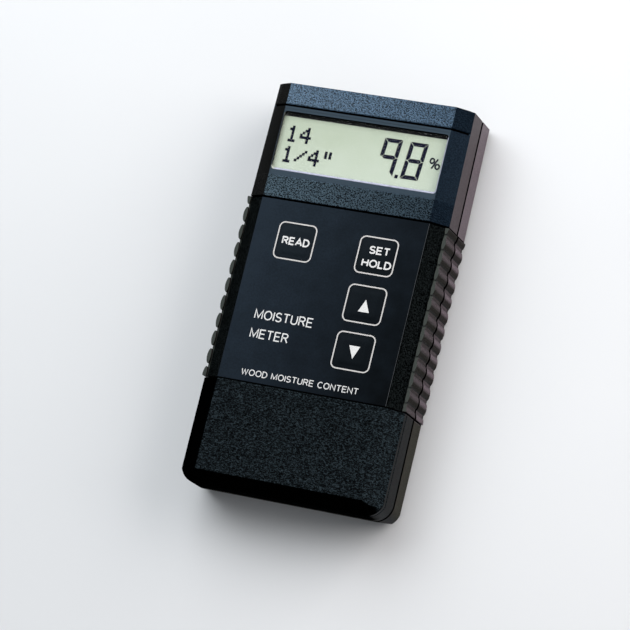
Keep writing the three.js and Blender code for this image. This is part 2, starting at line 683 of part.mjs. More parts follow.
function batteryDoor() {
  const skin = rearForm(0).subtract(rearForm(WALL));
  const plate = skin.intersect(box(
    -DOOR_HALF_WIDTH, DOOR_HALF_WIDTH, -REACH, DOOR_TOP_Y, -OVERCUT, WALL,
  ));
  const end = skin.intersect(box(
    -DOOR_END_HALF_WIDTH, DOOR_END_HALF_WIDTH, -REACH, DOOR_END_Y, -OVERCUT, DOOR_LIP_Z,
  ));
  let door = plate.add(end);
  for (const side of [-1, 1]) {
    const inner = side * TONGUE_INNER_X;
    const edge = side * DOOR_HALF_WIDTH;
    const outer = side * TONGUE_OUTER_X;
    door = door.add(box(
      Math.min(inner, edge), Math.max(inner, edge),
      RAIL_START_Y, DOOR_TOP_Y,
      WALL - BOSS_ROOT, TONGUE_TOP_Z,
    ));
    door = door.add(box(
      Math.min(inner, outer), Math.max(inner, outer),
      RAIL_START_Y + TONGUE_SETBACK, DOOR_TOP_Y - TONGUE_SETBACK,
      TONGUE_BOTTOM_Z, TONGUE_TOP_Z,
    ));
  }

  // Thumb grooves that show which way to push.
  for (let groove = 0; groove < THUMB_GROOVE.count; groove += 1) {
    const y = THUMB_GROOVE.firstY - groove * THUMB_GROOVE.pitch;
    door = door.subtract(box(
      -THUMB_GROOVE.halfLength, THUMB_GROOVE.halfLength,
      y - THUMB_GROOVE.halfWidth, y + THUMB_GROOVE.halfWidth,
      -OVERCUT, THUMB_GROOVE.depth,
    ));
  }
  return door;
}

// ---------------------------------------------------------------- display

function displayWindow() {
  return roundedBlock(
    VIEW_LEFT_X - WINDOW_MARGIN, VIEW_RIGHT_X + WINDOW_MARGIN,
    VIEW_BOTTOM_Y - WINDOW_MARGIN, VIEW_TOP_Y + WINDOW_MARGIN,
    FACE_Z - VIEW_LIP - WINDOW_THICKNESS, FACE_Z - VIEW_LIP, WINDOW_CORNER,
  );
}

function lcdGlass() {
  return box(-LCD_HALF_WIDTH, LCD_HALF_WIDTH, LCD_BOTTOM_Y, LCD_TOP_Y, LCD_BOTTOM_Z, LCD_TOP_Z);
}

function lcdHolder() {
  const inner = [LCD_HALF_WIDTH + FIT_GAP, LCD_BOTTOM_Y - FIT_GAP, LCD_TOP_Y + FIT_GAP];
  const frame = box(
    -inner[0] - HOLDER_WALL + FIT_GAP, inner[0] + HOLDER_WALL - FIT_GAP,
    inner[1] - HOLDER_WALL + FIT_GAP, inner[2] + HOLDER_WALL - FIT_GAP,
    BOARD_TOP_Z, HOLDER_TOP_Z,
  );
  return frame.subtract(box(-inner[0], inner[0], inner[1], inner[2], 0, REACH));
}

function zebraStrip(y) {
  return box(
    -ZEBRA.halfLength, ZEBRA.halfLength,
    y - ZEBRA.halfThickness, y + ZEBRA.halfThickness,
    BOARD_TOP_Z, LCD_BOTTOM_Z,
  );
}

// ---------------------------------------------------------------- keypad

function keypadOverlay() {
  const bottomZ = FACE_Z - GRIP_FACE_STEP;
  let film = box(
    -FILM_HALF_WIDTH, FILM_HALF_WIDTH,
    GRIP_BOTTOM_Y + ZONE_GROOVE_WIDTH + FILM_MARGIN, GRIP_TOP_Y - ZONE_GROOVE_WIDTH - FILM_MARGIN,
    bottomZ, bottomZ + FILM_THICKNESS,
  );
  for (const key of KEYS) {
    film = film.subtract(keyHole(key, 0, REACH));
  }
  return film;
}

function keyPad(key) {
  const halfWidth = KEY_WIDTH / 2;
  const halfLength = KEY_LENGTH / 2;
  const outline = roundedRectangle(
    key.x - halfWidth + KEY_EDGE, key.x + halfWidth - KEY_EDGE,
    key.y - halfLength + KEY_EDGE, key.y + halfLength - KEY_EDGE,
    KEY_CORNER - KEY_EDGE,
  );
  const geometry = new THREE.ExtrudeGeometry(outline, {
    depth: FACE_Z - KEY_FLANGE_BOTTOM_Z - 2 * KEY_EDGE,
    bevelEnabled: true,
    bevelSegments: 1,
    bevelSize: KEY_EDGE,
    bevelThickness: KEY_EDGE,
    curveSegments: KEY_STEPS,
  });
  geometry.translate(0, 0, KEY_FLANGE_BOTTOM_Z + KEY_EDGE);
  const flange = box(
    key.x - halfWidth - KEY_FLANGE, key.x + halfWidth + KEY_FLANGE,
    key.y - halfLength - KEY_FLANGE, key.y + halfLength + KEY_FLANGE,
    KEY_FLANGE_BOTTOM_Z, KEY_FLANGE_TOP_Z,
  );
  const plungerBottom = BOARD_TOP_Z + DOME_HEIGHT + KEY_TRAVEL + KEY_STOP_GAP;
  const plunger = post(key.x, key.y, plungerBottom, KEY_FLANGE_BOTTOM_Z + PLUNGER_ROOT, PLUNGER_RADIUS);
  return solid(geometry).add(flange).add(plunger);
}

function snapDome(key) {
  const outer = [];
  const inner = [];
  for (let step = 0; step <= DOME_STEPS; step += 1) {
    const turn = (Math.PI / 2) * (step / DOME_STEPS);
    outer.push([DOME_RADIUS * Math.cos(turn), DOME_HEIGHT * Math.sin(turn)]);
    inner.unshift([(DOME_RADIUS - DOME_SKIN) * Math.cos(turn), (DOME_HEIGHT - DOME_SKIN) * Math.sin(turn)]);
  }
  const tidy = ([r, h]) => [r < 1e-6 ? 0 : r, h];
  const profile = [...inner.map(tidy), ...outer.map(tidy)];
  return turned(key.x, key.y, BOARD_TOP_Z, profile);
}

// ---------------------------------------------------------------- boards and their parts

function mainBoard() {
  let board = box(
    -BOARD_HALF_WIDTH, BOARD_HALF_WIDTH, BOARD_BOTTOM_Y, BOARD_TOP_Y, BOARD_BOTTOM_Z, BOARD_TOP_Z,
  );
  for (const [x, y] of boardScrewSpots) {
    board = board.subtract(post(x, y, 0, REACH, BOARD_SCREW_HOLE));
  }
  return board;
}

// A part hanging under the main board.
function underBoard({ x, y, width, length, height }) {
  return box(
    x - width / 2, x + width / 2, y - length / 2, y + length / 2,
    BOARD_BOTTOM_Z - height, BOARD_BOTTOM_Z,
  );
}

function filterCapacitor() {
  const { x, y, radius, height } = CAPACITOR;
  return post(x, y, BOARD_BOTTOM_Z - height, BOARD_BOTTOM_Z, radius);
}

function measuringPlate() {
  return box(
    -PLATE.halfWidth, PLATE.halfWidth,
    PAD_BOTTOM_Y + PLATE.margin, PAD_TOP_Y - PLATE.margin,
    WALL + PAD_FLANGE_THICKNESS, SENSOR_BOARD_BOTTOM_Z,
  );
}

function measuringRing() {
  const outer = box(
    -RING.halfWidth, RING.halfWidth,
    PAD_BOTTOM_Y + RING.margin, PAD_TOP_Y - RING.margin,
    WALL + PAD_FLANGE_THICKNESS, SENSOR_BOARD_BOTTOM_Z,
  );
  return outer.subtract(box(
    -RING.innerHalfWidth, RING.innerHalfWidth,
    PAD_BOTTOM_Y + RING.innerMargin, PAD_TOP_Y - RING.innerMargin,
    0, REACH,
  ));
}

function sensorCover() {
  return padOutline(0, 0, WALL).add(padOutline(PAD_FLANGE, WALL, WALL + PAD_FLANGE_THICKNESS));
}

// One half of the connector between the two boards.
function headerHalf(z0, z1) {
  return box(-HEADER.halfWidth, HEADER.halfWidth, HEADER.bottomY, HEADER.topY, z0, z1);
}

function sensorBoard() {
  let board = box(
    -SENSOR_BOARD_HALF_WIDTH, SENSOR_BOARD_HALF_WIDTH,
    SENSOR_SCREW.bottomY - SENSOR_BOARD_EDGE, SENSOR_SCREW.topY + SENSOR_BOARD_EDGE,
    SENSOR_BOARD_BOTTOM_Z, SENSOR_BOARD_TOP_Z,
  );
  for (const [x, y] of sensorScrewSpots) {
    board = board.subtract(post(x, y, 0, REACH, BOARD_SCREW_HOLE));
  }
  return board;
}

// ---------------------------------------------------------------- screws

// Pan-head screw with a cross recess. The head's flat side is at z, and `way` is +1 when the shank
// points up and -1 when it points down.
function screw(x, y, z, way, { headRadius, headHeight, shankRadius, shankLength }) {
  const profile = [
    [0, -headHeight],
    [headRadius * SCREW_FACE, -headHeight],
    [headRadius, -headHeight * SCREW_RIM],
    [headRadius, 0],
    [shankRadius, 0],
    [shankRadius, shankLength - shankRadius],
    [0, shankLength],
  ];
  const geometry = new THREE.LatheGeometry(profile.map(([r, h]) => new THREE.Vector2(r, h)), SCREW_STEPS);
  geometry.rotateX(Math.PI / 2);
  if (way < 0) {
    geometry.rotateX(Math.PI);
  }
  geometry.translate(x, y, z);
  const arm = headRadius * RECESS.arm;
  const slot = headRadius * RECESS.halfWidth;
  const top = z - way * headHeight;
  const deep = z - way * headHeight * (1 - RECESS.depth);
  const zRange = [Math.min(top - way, deep), Math.max(top - way, deep)];
  return solid(geometry)
    .subtract(box(x - arm, x + arm, y - slot, y + slot, ...zRange))
    .subtract(box(x - slot, x + slot, y - arm, y + arm, ...zRange));
}

// ---------------------------------------------------------------- battery

function batteryCell() {
  const shape = roundedRectangle(
    BATTERY_Y - BATTERY_WIDTH / 2, BATTERY_Y + BATTERY_WIDTH / 2,
    BATTERY_BOTTOM_Z, BATTERY_BOTTOM_Z + BATTERY_DEPTH, BATTERY_CORNER,
  );
  const geometry = new THREE.ExtrudeGeometry(shape, {
    depth: BATTERY_LENGTH, bevelEnabled: false, curveSegments: 4,
  });
  geometry.rotateX(Math.PI / 2);
  geometry.rotateZ(Math.PI / 2);
  geometry.translate(BATTERY_LEFT_X, 0, 0);
  return solid(geometry);
}

const terminalX = BATTERY_LEFT_X + BATTERY_LENGTH;
const batteryMidZ = BATTERY_BOTTOM_Z + BATTERY_DEPTH / 2;

function terminal(y, radius, steps) {
  const geometry = new THREE.CylinderGeometry(radius, radius, TERMINAL_HEIGHT, steps);
  geometry.rotateZ(Math.PI / 2);
  geometry.translate(terminalX + TERMINAL_HEIGHT / 2, y, batteryMidZ);
  return solid(geometry);
}

function batterySnap() {
  const faceX = terminalX + TERMINAL_HEIGHT + SNAP.gap;
  return box(
    faceX, faceX + SNAP.thickness,
    BATTERY_Y - SNAP.halfLength, BATTERY_Y + SNAP.halfLength,
    batteryMidZ - SNAP.halfHeight, batteryMidZ + SNAP.halfHeight,
  );
}

// Foam on the door that holds the battery still.
function batteryPad() {
  return box(
    -BATTERY_PAD.halfWidth, BATTERY_PAD.halfWidth,
    BATTERY_Y - BATTERY_PAD.halfLength, BATTERY_Y + BATTERY_PAD.halfLength,
    WALL, BATTERY_BOTTOM_Z - CONTACT_GAP,
  );
}

// Insulated lead along a smooth route through the given points.
function lead(points) {
  const route = new THREE.CatmullRomCurve3(points.map(([x, y, z]) => new THREE.Vector3(x, y, z)));
  const section = new THREE.Shape();
  section.absarc(0, 0, LEAD_RADIUS, 0, Math.PI * 2);
  return solid(new THREE.ExtrudeGeometry(section, {
    extrudePath: route, steps: LEAD_STEPS, curveSegments: CORNER_STEPS, bevelEnabled: false,
  }));
}

// ---------------------------------------------------------------- assembly

addPiece('front_shell', frontShell(), finish('case'));
addPiece('rear_shell', rearShell(), finish('case'));
addPiece('battery_door', batteryDoor(), finish('case'));

addPiece('display_window', displayWindow(), windowFinish());
addPiece('lcd_glass', lcdGlass(), finish('displayGlass'));
addPiece('lcd_holder', lcdHolder(), finish('blackPlastic'));
addPiece('zebra_strip_upper', zebraStrip(LCD_TOP_Y - ZEBRA.inset), finish('rubber'));
addPiece('zebra_strip_lower', zebraStrip(LCD_BOTTOM_Y + ZEBRA.inset), finish('rubber'));

addPiece('keypad_overlay', keypadOverlay(), finish('film'));
KEYS.forEach((key) => {
  addPiece(key.name, keyPad(key), finish('key'));
  addPiece(`${key.name}_dome`, snapDome(key), finish('steel'));
});

addPiece('main_board', mainBoard(), finish('board'));
addPiece('microcontroller', underBoard(CHIPS.microcontroller), finish('chip'));
addPiece('amplifier_chip', underBoard(CHIPS.amplifier), finish('chip'));
addPiece('oscillator_crystal', underBoard(CHIPS.crystal), finish('steel'));
addPiece('voltage_regulator', underBoard(CHIPS.regulator), finish('chip'));
addPiece('filter_capacitor', filterCapacitor(), finish('steel'));

addPiece('sensor_cover', sensorCover(), finish('smoothBlack'));
addPiece('measuring_plate', measuringPlate(), finish('copper'));
addPiece('measuring_ring', measuringRing(), finish('copper'));
addPiece('sensor_board', sensorBoard(), finish('board'));
addPiece('header_socket', headerHalf(SENSOR_BOARD_TOP_Z, HEADER.splitZ), finish('chip'));
addPiece('header_plug', headerHalf(HEADER.splitZ, BOARD_BOTTOM_Z), finish('chip'));

addPiece('battery', batteryCell(), finish('batteryCan'));
addPiece(
  'battery_positive',
  terminal(BATTERY_Y - TERMINAL_SPACING / 2, POSITIVE_RADIUS, ROUND_STEPS),
  finish('steel'),
);
addPiece(
  'battery_negative',
  terminal(BATTERY_Y + TERMINAL_SPACING / 2, NEGATIVE_RADIUS, 6),
  finish('steel'),
);
addPiece('battery_snap', batterySnap(), finish('blackPlastic'));
addPiece('battery_lead_red', lead(RED_ROUTE), finish('redInsulation'));
addPiece('battery_lead_black', lead(BLACK_ROUTE), finish('blackInsulation'));
addPiece('battery_pad', batteryPad(), finish('foam'));

const sideNames = ['head_left', 'head_right', 'mid_left', 'mid_right'];
caseScrewSpots.forEach(([x, y], index) => {
  addPiece(
    `case_screw_${sideNames[index]}`,
    screw(x, y, COUNTERBORE_DEPTH, 1, CASE_SCREW),
    finish('zinc'),
  );
});

const cornerNames = ['upper_left', 'upper_right', 'lower_left', 'lower_right'];
boardScrewSpots.forEach(([x, y], index) => {
  addPiece(
    `board_screw_${cornerNames[index]}`,
    screw(x, y, BOARD_BOTTOM_Z, 1, BOARD_SCREW_SIZE),
    finish('zinc'),
  );
});
sensorScrewSpots.forEach(([x, y], index) => {
  addPiece(
    `sensor_screw_${cornerNames[index]}`,
    screw(x, y, SENSOR_BOARD_TOP_Z, -1, SENSOR_SCREW_SIZE),
    finish('zinc'),
  );
});

export default meter;
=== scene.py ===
import json
import math

import bmesh
import bpy
from mathutils import Matrix, Vector


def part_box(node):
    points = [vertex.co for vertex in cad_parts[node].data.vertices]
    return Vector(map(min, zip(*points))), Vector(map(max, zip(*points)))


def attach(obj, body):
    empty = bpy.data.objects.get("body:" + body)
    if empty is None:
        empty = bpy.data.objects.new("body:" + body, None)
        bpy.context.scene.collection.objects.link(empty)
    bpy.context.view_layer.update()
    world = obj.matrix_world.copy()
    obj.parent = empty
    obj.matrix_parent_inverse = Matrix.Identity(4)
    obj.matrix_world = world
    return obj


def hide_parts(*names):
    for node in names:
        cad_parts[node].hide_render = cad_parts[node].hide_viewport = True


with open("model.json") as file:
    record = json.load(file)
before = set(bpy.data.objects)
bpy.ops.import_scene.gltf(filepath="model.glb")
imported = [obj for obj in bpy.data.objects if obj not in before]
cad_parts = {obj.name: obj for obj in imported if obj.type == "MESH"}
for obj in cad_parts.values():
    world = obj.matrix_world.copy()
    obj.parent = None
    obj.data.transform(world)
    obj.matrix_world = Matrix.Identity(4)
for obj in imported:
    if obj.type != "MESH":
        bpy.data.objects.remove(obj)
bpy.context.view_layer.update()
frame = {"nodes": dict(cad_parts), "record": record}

MM = 0.001
CASE = "case"


def box_mm(node):
    """Lowest and highest corner of a CAD node, in millimetres."""
    low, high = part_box(node)
    return [v / MM for v in low], [v / MM for v in high]


# Places on the case, in millimetres, from the boxes of the CAD nodes.
film_low, film_high = box_mm("keypad_overlay")
lcd_low, lcd_high = box_mm("lcd_glass")
window_low, window_high = box_mm("display_window")
shell_high = box_mm("front_shell")[1]
FILM_TOP = film_high[2]
FACE_TOP = shell_high[2]
FILM_TO_JOINT = 0.6               # from the film's end to the end of the grip zone
GRIP_BOTTOM = film_low[1] - FILM_TO_JOINT
GRIP_TOP = film_high[1] + FILM_TO_JOINT
GROOVE_Y = shell_high[1] - 7.8    # groove across the head
FIELD_BOTTOM = lcd_low[1] + 0.2   # lower end of the shallow field round the display
BEVEL_LOW = FACE_TOP - 4.1        # lower edge of the front bevels
RIB_X = 35.0                      # the ribs' tops lie outside this
FACE_REACH = 30.0                 # painted light grows over the face from this at the right to the left
REAR_TOP = 11.1                   # upper edge of the rear shell
JOINT = (9.9, 11.6)               # gap between the two shells, painted in shade
SILL_PAINTED_HIGHLIGHT = (12.8, 13.4)               # where the painted highlight along the lower edge of the foot's end wall fades out

# View opening of the display: the window reaches under its rim on every side.
WINDOW_MARGIN = 0.7
VIEW_LEFT = window_low[0] + WINDOW_MARGIN
VIEW_RIGHT = window_high[0] - WINDOW_MARGIN
VIEW_LOWER = window_low[1] + WINDOW_MARGIN
VIEW_UPPER = window_high[1] - WINDOW_MARGIN

PRINT = 0.03                      # thickness of printed ink


# ------------------------------------------------------------------ node helpers


class Nodes:
    """Small wrapper that builds a material's node tree."""

    def __init__(self, name):
        self.material = bpy.data.materials.new(name)
        self.material.use_nodes = True
        self.tree = self.material.node_tree
        self.tree.nodes.clear()
        self.output = self.add("ShaderNodeOutputMaterial")
        self.shader = self.add("ShaderNodeBsdfPrincipled")
        self.link(self.shader.outputs[0], self.output.inputs[0])
        self.coords = self.add("ShaderNodeTexCoord")
        scale = self.add("ShaderNodeVectorMath", operation="SCALE")
        scale.inputs["Scale"].default_value = 1 / MM
        self.link(self.coords.outputs["Object"], scale.inputs[0])
        self.mm = scale.outputs[0]

    def add(self, kind, **settings):
        node = self.tree.nodes.new(kind)
        for key, value in settings.items():
            setattr(node, key, value)
        return node

    def link(self, a, b):
        self.tree.links.new(a, b)

    def feed(self, value, socket):
        if isinstance(value, bpy.types.NodeSocket):
            self.link(value, socket)
        else:
            socket.default_value = value

    def math(self, operation, a, b=0.0, clamp=False):
        node = self.add("ShaderNodeMath", operation=operation, use_clamp=clamp)
        self.feed(a, node.inputs[0])
        self.feed(b, node.inputs[1])
        return node.outputs[0]

    def times(self, value, *factors):
        """The value multiplied by every factor."""
        for factor in factors:
            value = self.math("MULTIPLY", value, factor)
        return value

    def plus(self, a, b, clamp=False):
        return self.math("ADD", a, b, clamp)

    def highest(self, value, *others):
        for other in others:
            value = self.math("MAXIMUM", value, other)
        return value

    def distance(self, a, b=0.0):
        """How far the number a is from b."""
        return self.math("ABSOLUTE", self.math("SUBTRACT", a, b))

    def blend(self, factor, a, b):
        """The number a where the factor is 0 and b where it is 1."""
        span = self.math("SUBTRACT", b, a)
        return self.math("ADD", self.math("MULTIPLY", span, factor), a)

    def ramp(self, value, low, high, to_low=0.0, to_high=1.0, smooth=False):
        """Maps low..high onto to_low..to_high and stops at both ends."""
        node = self.add("ShaderNodeMapRange")
        if smooth:
            node.interpolation_type = "SMOOTHSTEP"
        self.feed(value, node.inputs["Value"])
        node.inputs["From Min"].default_value = low
        node.inputs["From Max"].default_value = high
        node.inputs["To Min"].default_value = to_low
        node.inputs["To Max"].default_value = to_high
        return node.outputs["Result"]

    def between(self, value, low, high, edge):
        """1 between low and high, 0 outside, with a soft edge of the given width inside each."""
        return self.times(self.ramp(value, low, low + edge), self.ramp(value, high, high - edge))

    def noise(self, scale, detail=2.0, roughness=0.5, distortion=0.0, vector=None):
        node = self.add("ShaderNodeTexNoise")
        self.link(vector or self.mm, node.inputs["Vector"])
        node.inputs["Scale"].default_value = scale
        node.inputs["Detail"].default_value = detail
        node.inputs["Roughness"].default_value = roughness
        node.inputs["Distortion"].default_value = distortion
        return node.outputs["Fac"]

    def cells(self, scale, vector, smooth):
        """Distance from the middle of soft-edged cells."""
        node = self.add("ShaderNodeTexVoronoi", feature="SMOOTH_F1")
        self.link(vector, node.inputs["Vector"])
        node.inputs["Scale"].default_value = scale
        node.inputs["Smoothness"].default_value = smooth
        return node.outputs["Distance"]

    def cell_edges(self, scale, vector):
        """Distance from the edges of cells."""
        node = self.add("ShaderNodeTexVoronoi", feature="DISTANCE_TO_EDGE")
        self.link(vector, node.inputs["Vector"])
        node.inputs["Scale"].default_value = scale
        return node.outputs["Distance"]

    def stretched(self, x, y, z, wobble=0.0, wobble_scale=0.5):
        """Position scaled along each axis, after a wobble of the given size in millimetres."""
        mapping = self.add("ShaderNodeMapping")
        mapping.inputs["Scale"].default_value = (x, y, z)
        source = self.mm
        if wobble:
            noise = self.add("ShaderNodeTexNoise")
            self.link(self.mm, noise.inputs["Vector"])
            noise.inputs["Scale"].default_value = wobble_scale
            noise.inputs["Detail"].default_value = 1.0
            shift = self.add("ShaderNodeVectorMath", operation="SCALE")
            shift.inputs["Scale"].default_value = wobble
            self.link(noise.outputs["Color"], shift.inputs[0])
            total = self.add("ShaderNodeVectorMath", operation="ADD")
            self.link(self.mm, total.inputs[0])
            self.link(shift.outputs[0], total.inputs[1])
            source = total.outputs[0]
        self.link(source, mapping.inputs["Vector"])
        return mapping.outputs[0]

    def mix_colour(self, factor, a, b):
        node = self.add("ShaderNodeMix", data_type="RGBA")
        self.feed(factor, node.inputs["Factor"])
        for value, socket in ((a, node.inputs[6]), (b, node.inputs[7])):
            if isinstance(value, tuple):
                socket.default_value = (*value, 1.0)
            else:
                self.link(value, socket)
        return node.outputs[2]

    def xyz(self, vector=None):
        node = self.add("ShaderNodeSeparateXYZ")
        self.link(vector or self.mm, node.inputs[0])
        return node.outputs

    def bump(self, height, distance_mm, strength=1.0):
        node = self.add("ShaderNodeBump")
        node.inputs["Distance"].default_value = distance_mm * MM
        node.inputs["Strength"].default_value = strength
        self.link(height, node.inputs["Height"])
        return node.outputs[0]

    def finish(self, colour, roughness, normal=None, **constants):
        """Feeds the shader and returns the material; other sockets are set to the given constants."""
        sockets = self.shader.inputs
        if isinstance(colour, tuple):
            sockets["Base Color"].default_value = (*colour, 1.0)
        else:
            self.link(colour, sockets["Base Color"])
        self.feed(roughness, sockets["Roughness"])
        if normal is not None:
            self.link(normal, sockets["Normal"])
        for key, value in constants.items():
            sockets[key.replace("_", " ")].default_value = value
        return self.material


# ------------------------------------------------------------------ materials


# Low and high tone of each area of the case.
CASE_TONES = {
    # walls: their warm lighter tones, strongest on the rear shell, are painted reflection of the pale
    # floor
    "wall": ((0.012, 0.007, 0.008), (0.045, 0.029, 0.034)),
    "rear_wall": ((0.046, 0.031, 0.040), (0.105, 0.082, 0.094)),
    "rear_foot_wall": ((0.010, 0.009, 0.006), (0.022, 0.020, 0.013)),
    # foot end: its pale high tone is painted highlight along the end wall's lower edge
    "foot_end_painted_highlight": ((0.0008, 0.0009, 0.0009), (0.045, 0.045, 0.043)),
    # the right bevel's lighter navy is painted light from the side; the left bevel's near black is painted
    # shade
    "right_bevel_painted_light": ((0.0012, 0.0035, 0.0075), (0.0075, 0.015, 0.025)),
    "left_bevel_painted_shade": ((0.001, 0.001, 0.001), (0.004, 0.004, 0.0035)),
    # foot: its high tone is painted highlight on the ridges of the creases
    "foot": ((0.0006, 0.0010, 0.0012), (0.030, 0.044, 0.053)),
    "grip": ((0.0001, 0.0002, 0.0002), (0.0085, 0.0110, 0.0115)),
}
HEAD_LOW = (0.0015, 0.004, 0.008)
HEAD_PAINTED_HIGHLIGHT = ((0.058, 0.105, 0.166), (0.092, 0.160, 0.245))   # painted highlight of the grain's high spots, at the right and at the left
BAND_LOW = (0.0003, 0.0006, 0.0012)
# painted highlight of the band's grain, at the right and at the left
BAND_PAINTED_HIGHLIGHT = ((0.029, 0.047, 0.064), (0.060, 0.096, 0.124))
FIELD_TONE = (0.007, 0.016, 0.027)
FOOT_WALL_TONE = (0.004, 0.004, 0.004)
RIB_PAINTED_SHADE = (0.007, 0.007, 0.005)
RIB_TOP_PAINTED_LIGHT = (0.045, 0.052, 0.048)
END_TONE = (0.003, 0.0035, 0.0045)
FOOT_BEVEL_PAINTED_SHADE = (0.0003, 0.0004, 0.0004)
PAINTED_CREVICE_SHADE = (0.0003, 0.0003, 0.0004)

# How strongly each area of the case mirrors; two numbers are for the right and for the left.
HEAD_GLOSS = (0.32, 0.75)
BAND_GLOSS = (0.02, 0.16)
BEVEL_GLOSS = (0.025, 0.02)
FIELD_GLOSS = 0.32
FOOT_GLOSS = 0.03
WALL_GLOSS = 0.16
FOOT_WALL_GLOSS = 0.07
RIB_PAINTED_SHADE_GLOSS = 0.02
CORNER_GLOSS = 0.12
END_GLOSS = 0.06

# Depth of the grain in millimetres, and how strongly each kind of it stands out.
GRAIN_DEPTH = 0.17
FINE_GRAIN = 2.2
CREASED_GRAIN = 2.4
SAND_ON_CASE, SAND_ON_GRIP = 0.12, 0.5


def case_masks(n):
    """Masks, from 0 to 1, of the zones of the case and of the way its surface faces."""
    x, y, z = n.xyz()
    normal_x, normal_y, normal_z = n.xyz(n.coords.outputs["Normal"])
    front = n.ramp(normal_z, 0.25, 0.5, smooth=True)
    grip = n.between(y, GRIP_BOTTOM, GRIP_TOP, 0.1)
    joint = n.between(z, *JOINT, 0.2)
    seam = n.between(y, GRIP_TOP - 0.75, GRIP_TOP + 0.15, 0.15)
    groove = n.between(y, GROOVE_Y - 0.4, GROOVE_Y + 0.4, 0.1)
    groove = n.times(groove, n.ramp(z, BEVEL_LOW - 0.1, BEVEL_LOW + 0.1))
    above_band = n.ramp(y, FIELD_BOTTOM - 0.3, FIELD_BOTTOM)
    below_field = n.ramp(y, FIELD_BOTTOM, FIELD_BOTTOM - 0.3)
    return {
        "head": n.ramp(y, GROOVE_Y + 0.3, GROOVE_Y + 0.7),
        "field": n.times(above_band, n.ramp(y, GROOVE_Y, GROOVE_Y - 0.2)),
        "band": n.times(n.ramp(y, GRIP_TOP, GRIP_TOP + 0.2), below_field),
        "above_grip": n.ramp(y, GRIP_TOP - 0.1, GRIP_TOP + 0.1),
        "grip": grip,
        "foot": n.ramp(y, GRIP_BOTTOM, GRIP_BOTTOM - 0.2),
        # painted light: the face's tones and gloss grow towards the left, where the key light falls
        "painted_light_leftward": n.ramp(x, FACE_REACH, -FACE_REACH),
        "front": front,
        "flat": n.ramp(normal_z, 0.86, 0.97),
        "left_slope": n.ramp(normal_x, -0.15, -0.4),
        "end_slope": n.ramp(normal_y, -0.2, -0.5),
        "side": n.ramp(n.distance(normal_x), 0.75, 0.95),
        "end": n.ramp(n.distance(normal_y), 0.75, 0.95),
        "rear": n.ramp(z, REAR_TOP + 0.1, REAR_TOP - 0.1),
        "sill_painted_highlight": n.ramp(z, SILL_PAINTED_HIGHLIGHT[1], SILL_PAINTED_HIGHLIGHT[0]),
        # painted light on the upward-facing tops of the ribs
        "rib_top_painted_light": n.times(grip, front, n.ramp(n.distance(x), RIB_X - 0.1, RIB_X + 0.1)),
        # painted shade on the ribs' flanks that face down the case, away from the light
        "rib_painted_shade": n.times(grip, n.ramp(normal_y, 0.16, -0.10)),
        "crevice_painted_shade": n.highest(joint, seam, groove),
    }


def case_relief(n, at):
    """Bump of the case, and masks of the high spots of its two leathers and of its sand grain; the
    leathers' high spots carry painted highlights.
    """
    fine_cells = n.cells(1.75, n.stretched(1, 1.4, 1, wobble=0.8, wobble_scale=1.0), 0.2)
    fine = n.times(n.plus(fine_cells, n.noise(3.0, 3, 0.75)), 1.1)
    coarse_cells = n.cells(1.25, n.stretched(1, 1.7, 1, wobble=1.5, wobble_scale=0.7), 0.3)
    creases = n.noise(1.25, 2, 0.6, 0.9, vector=n.stretched(0.75, 1.5, 1))
    ridges = n.ramp(n.distance(creases, 0.5), 0.10, 0.0)
    coarse = n.plus(n.times(coarse_cells, 0.7), n.times(ridges, 0.55))
    sand = n.noise(2.6, 3, 0.75)

    fine_area = n.times(n.plus(at["head"], at["band"], clamp=True), at["front"])
    height = n.times(fine, fine_area, FINE_GRAIN)
    height = n.plus(height, n.times(coarse, at["foot"], at["front"], CREASED_GRAIN))
    height = n.plus(height, n.times(sand, n.blend(at["grip"], SAND_ON_CASE, SAND_ON_GRIP)))
    tops = {
        "fine": n.ramp(fine, 0.94, 1.12, smooth=True),
        "creased": n.ramp(coarse, 0.48, 0.98, smooth=True),
        "sand": n.ramp(sand, 0.42, 0.6),
        "grip_sand": n.ramp(sand, 0.47, 0.58),
    }
    return n.bump(height, GRAIN_DEPTH), tops


def case_walls(n, at, tops):
    """Colour and gloss of the upright walls: dark, with a warm lighter tone that is painted reflection of
    the floor, strongest on the rear shell, and nearly black at the foot; painted shade on the ribs'
    downward flanks and a painted highlight along the foot end's lower edge.
    """
    front = n.mix_colour(tops["sand"], *CASE_TONES["wall"])
    front = n.mix_colour(at["foot"], front, FOOT_WALL_TONE)
    rear = n.mix_colour(tops["sand"], *CASE_TONES["rear_wall"])
    rear_foot = n.mix_colour(tops["sand"], *CASE_TONES["rear_foot_wall"])
    rear = n.mix_colour(at["foot"], rear, rear_foot)
    wall = n.mix_colour(at["rear"], front, rear)
    # painted shade on the ribs' downward flanks
    wall = n.mix_colour(n.times(at["rib_painted_shade"], 0.9), wall, RIB_PAINTED_SHADE)
    colour = n.mix_colour(at["side"], END_TONE, wall)
    # painted highlight along the lower edge of the foot's end wall, near black above it
    foot_end_painted_highlight = n.mix_colour(at["sill_painted_highlight"], *CASE_TONES["foot_end_painted_highlight"])
    colour = n.mix_colour(n.times(at["end"], at["foot"]), colour, foot_end_painted_highlight)

    side_gloss = n.blend(at["foot"], WALL_GLOSS, FOOT_WALL_GLOSS)
    side_gloss = n.blend(at["rib_painted_shade"], side_gloss, RIB_PAINTED_SHADE_GLOSS)
    end_gloss = n.blend(at["foot"], END_GLOSS, 0.0)
    gloss = n.blend(at["end"], n.blend(at["side"], CORNER_GLOSS, side_gloss), end_gloss)
    return colour, gloss


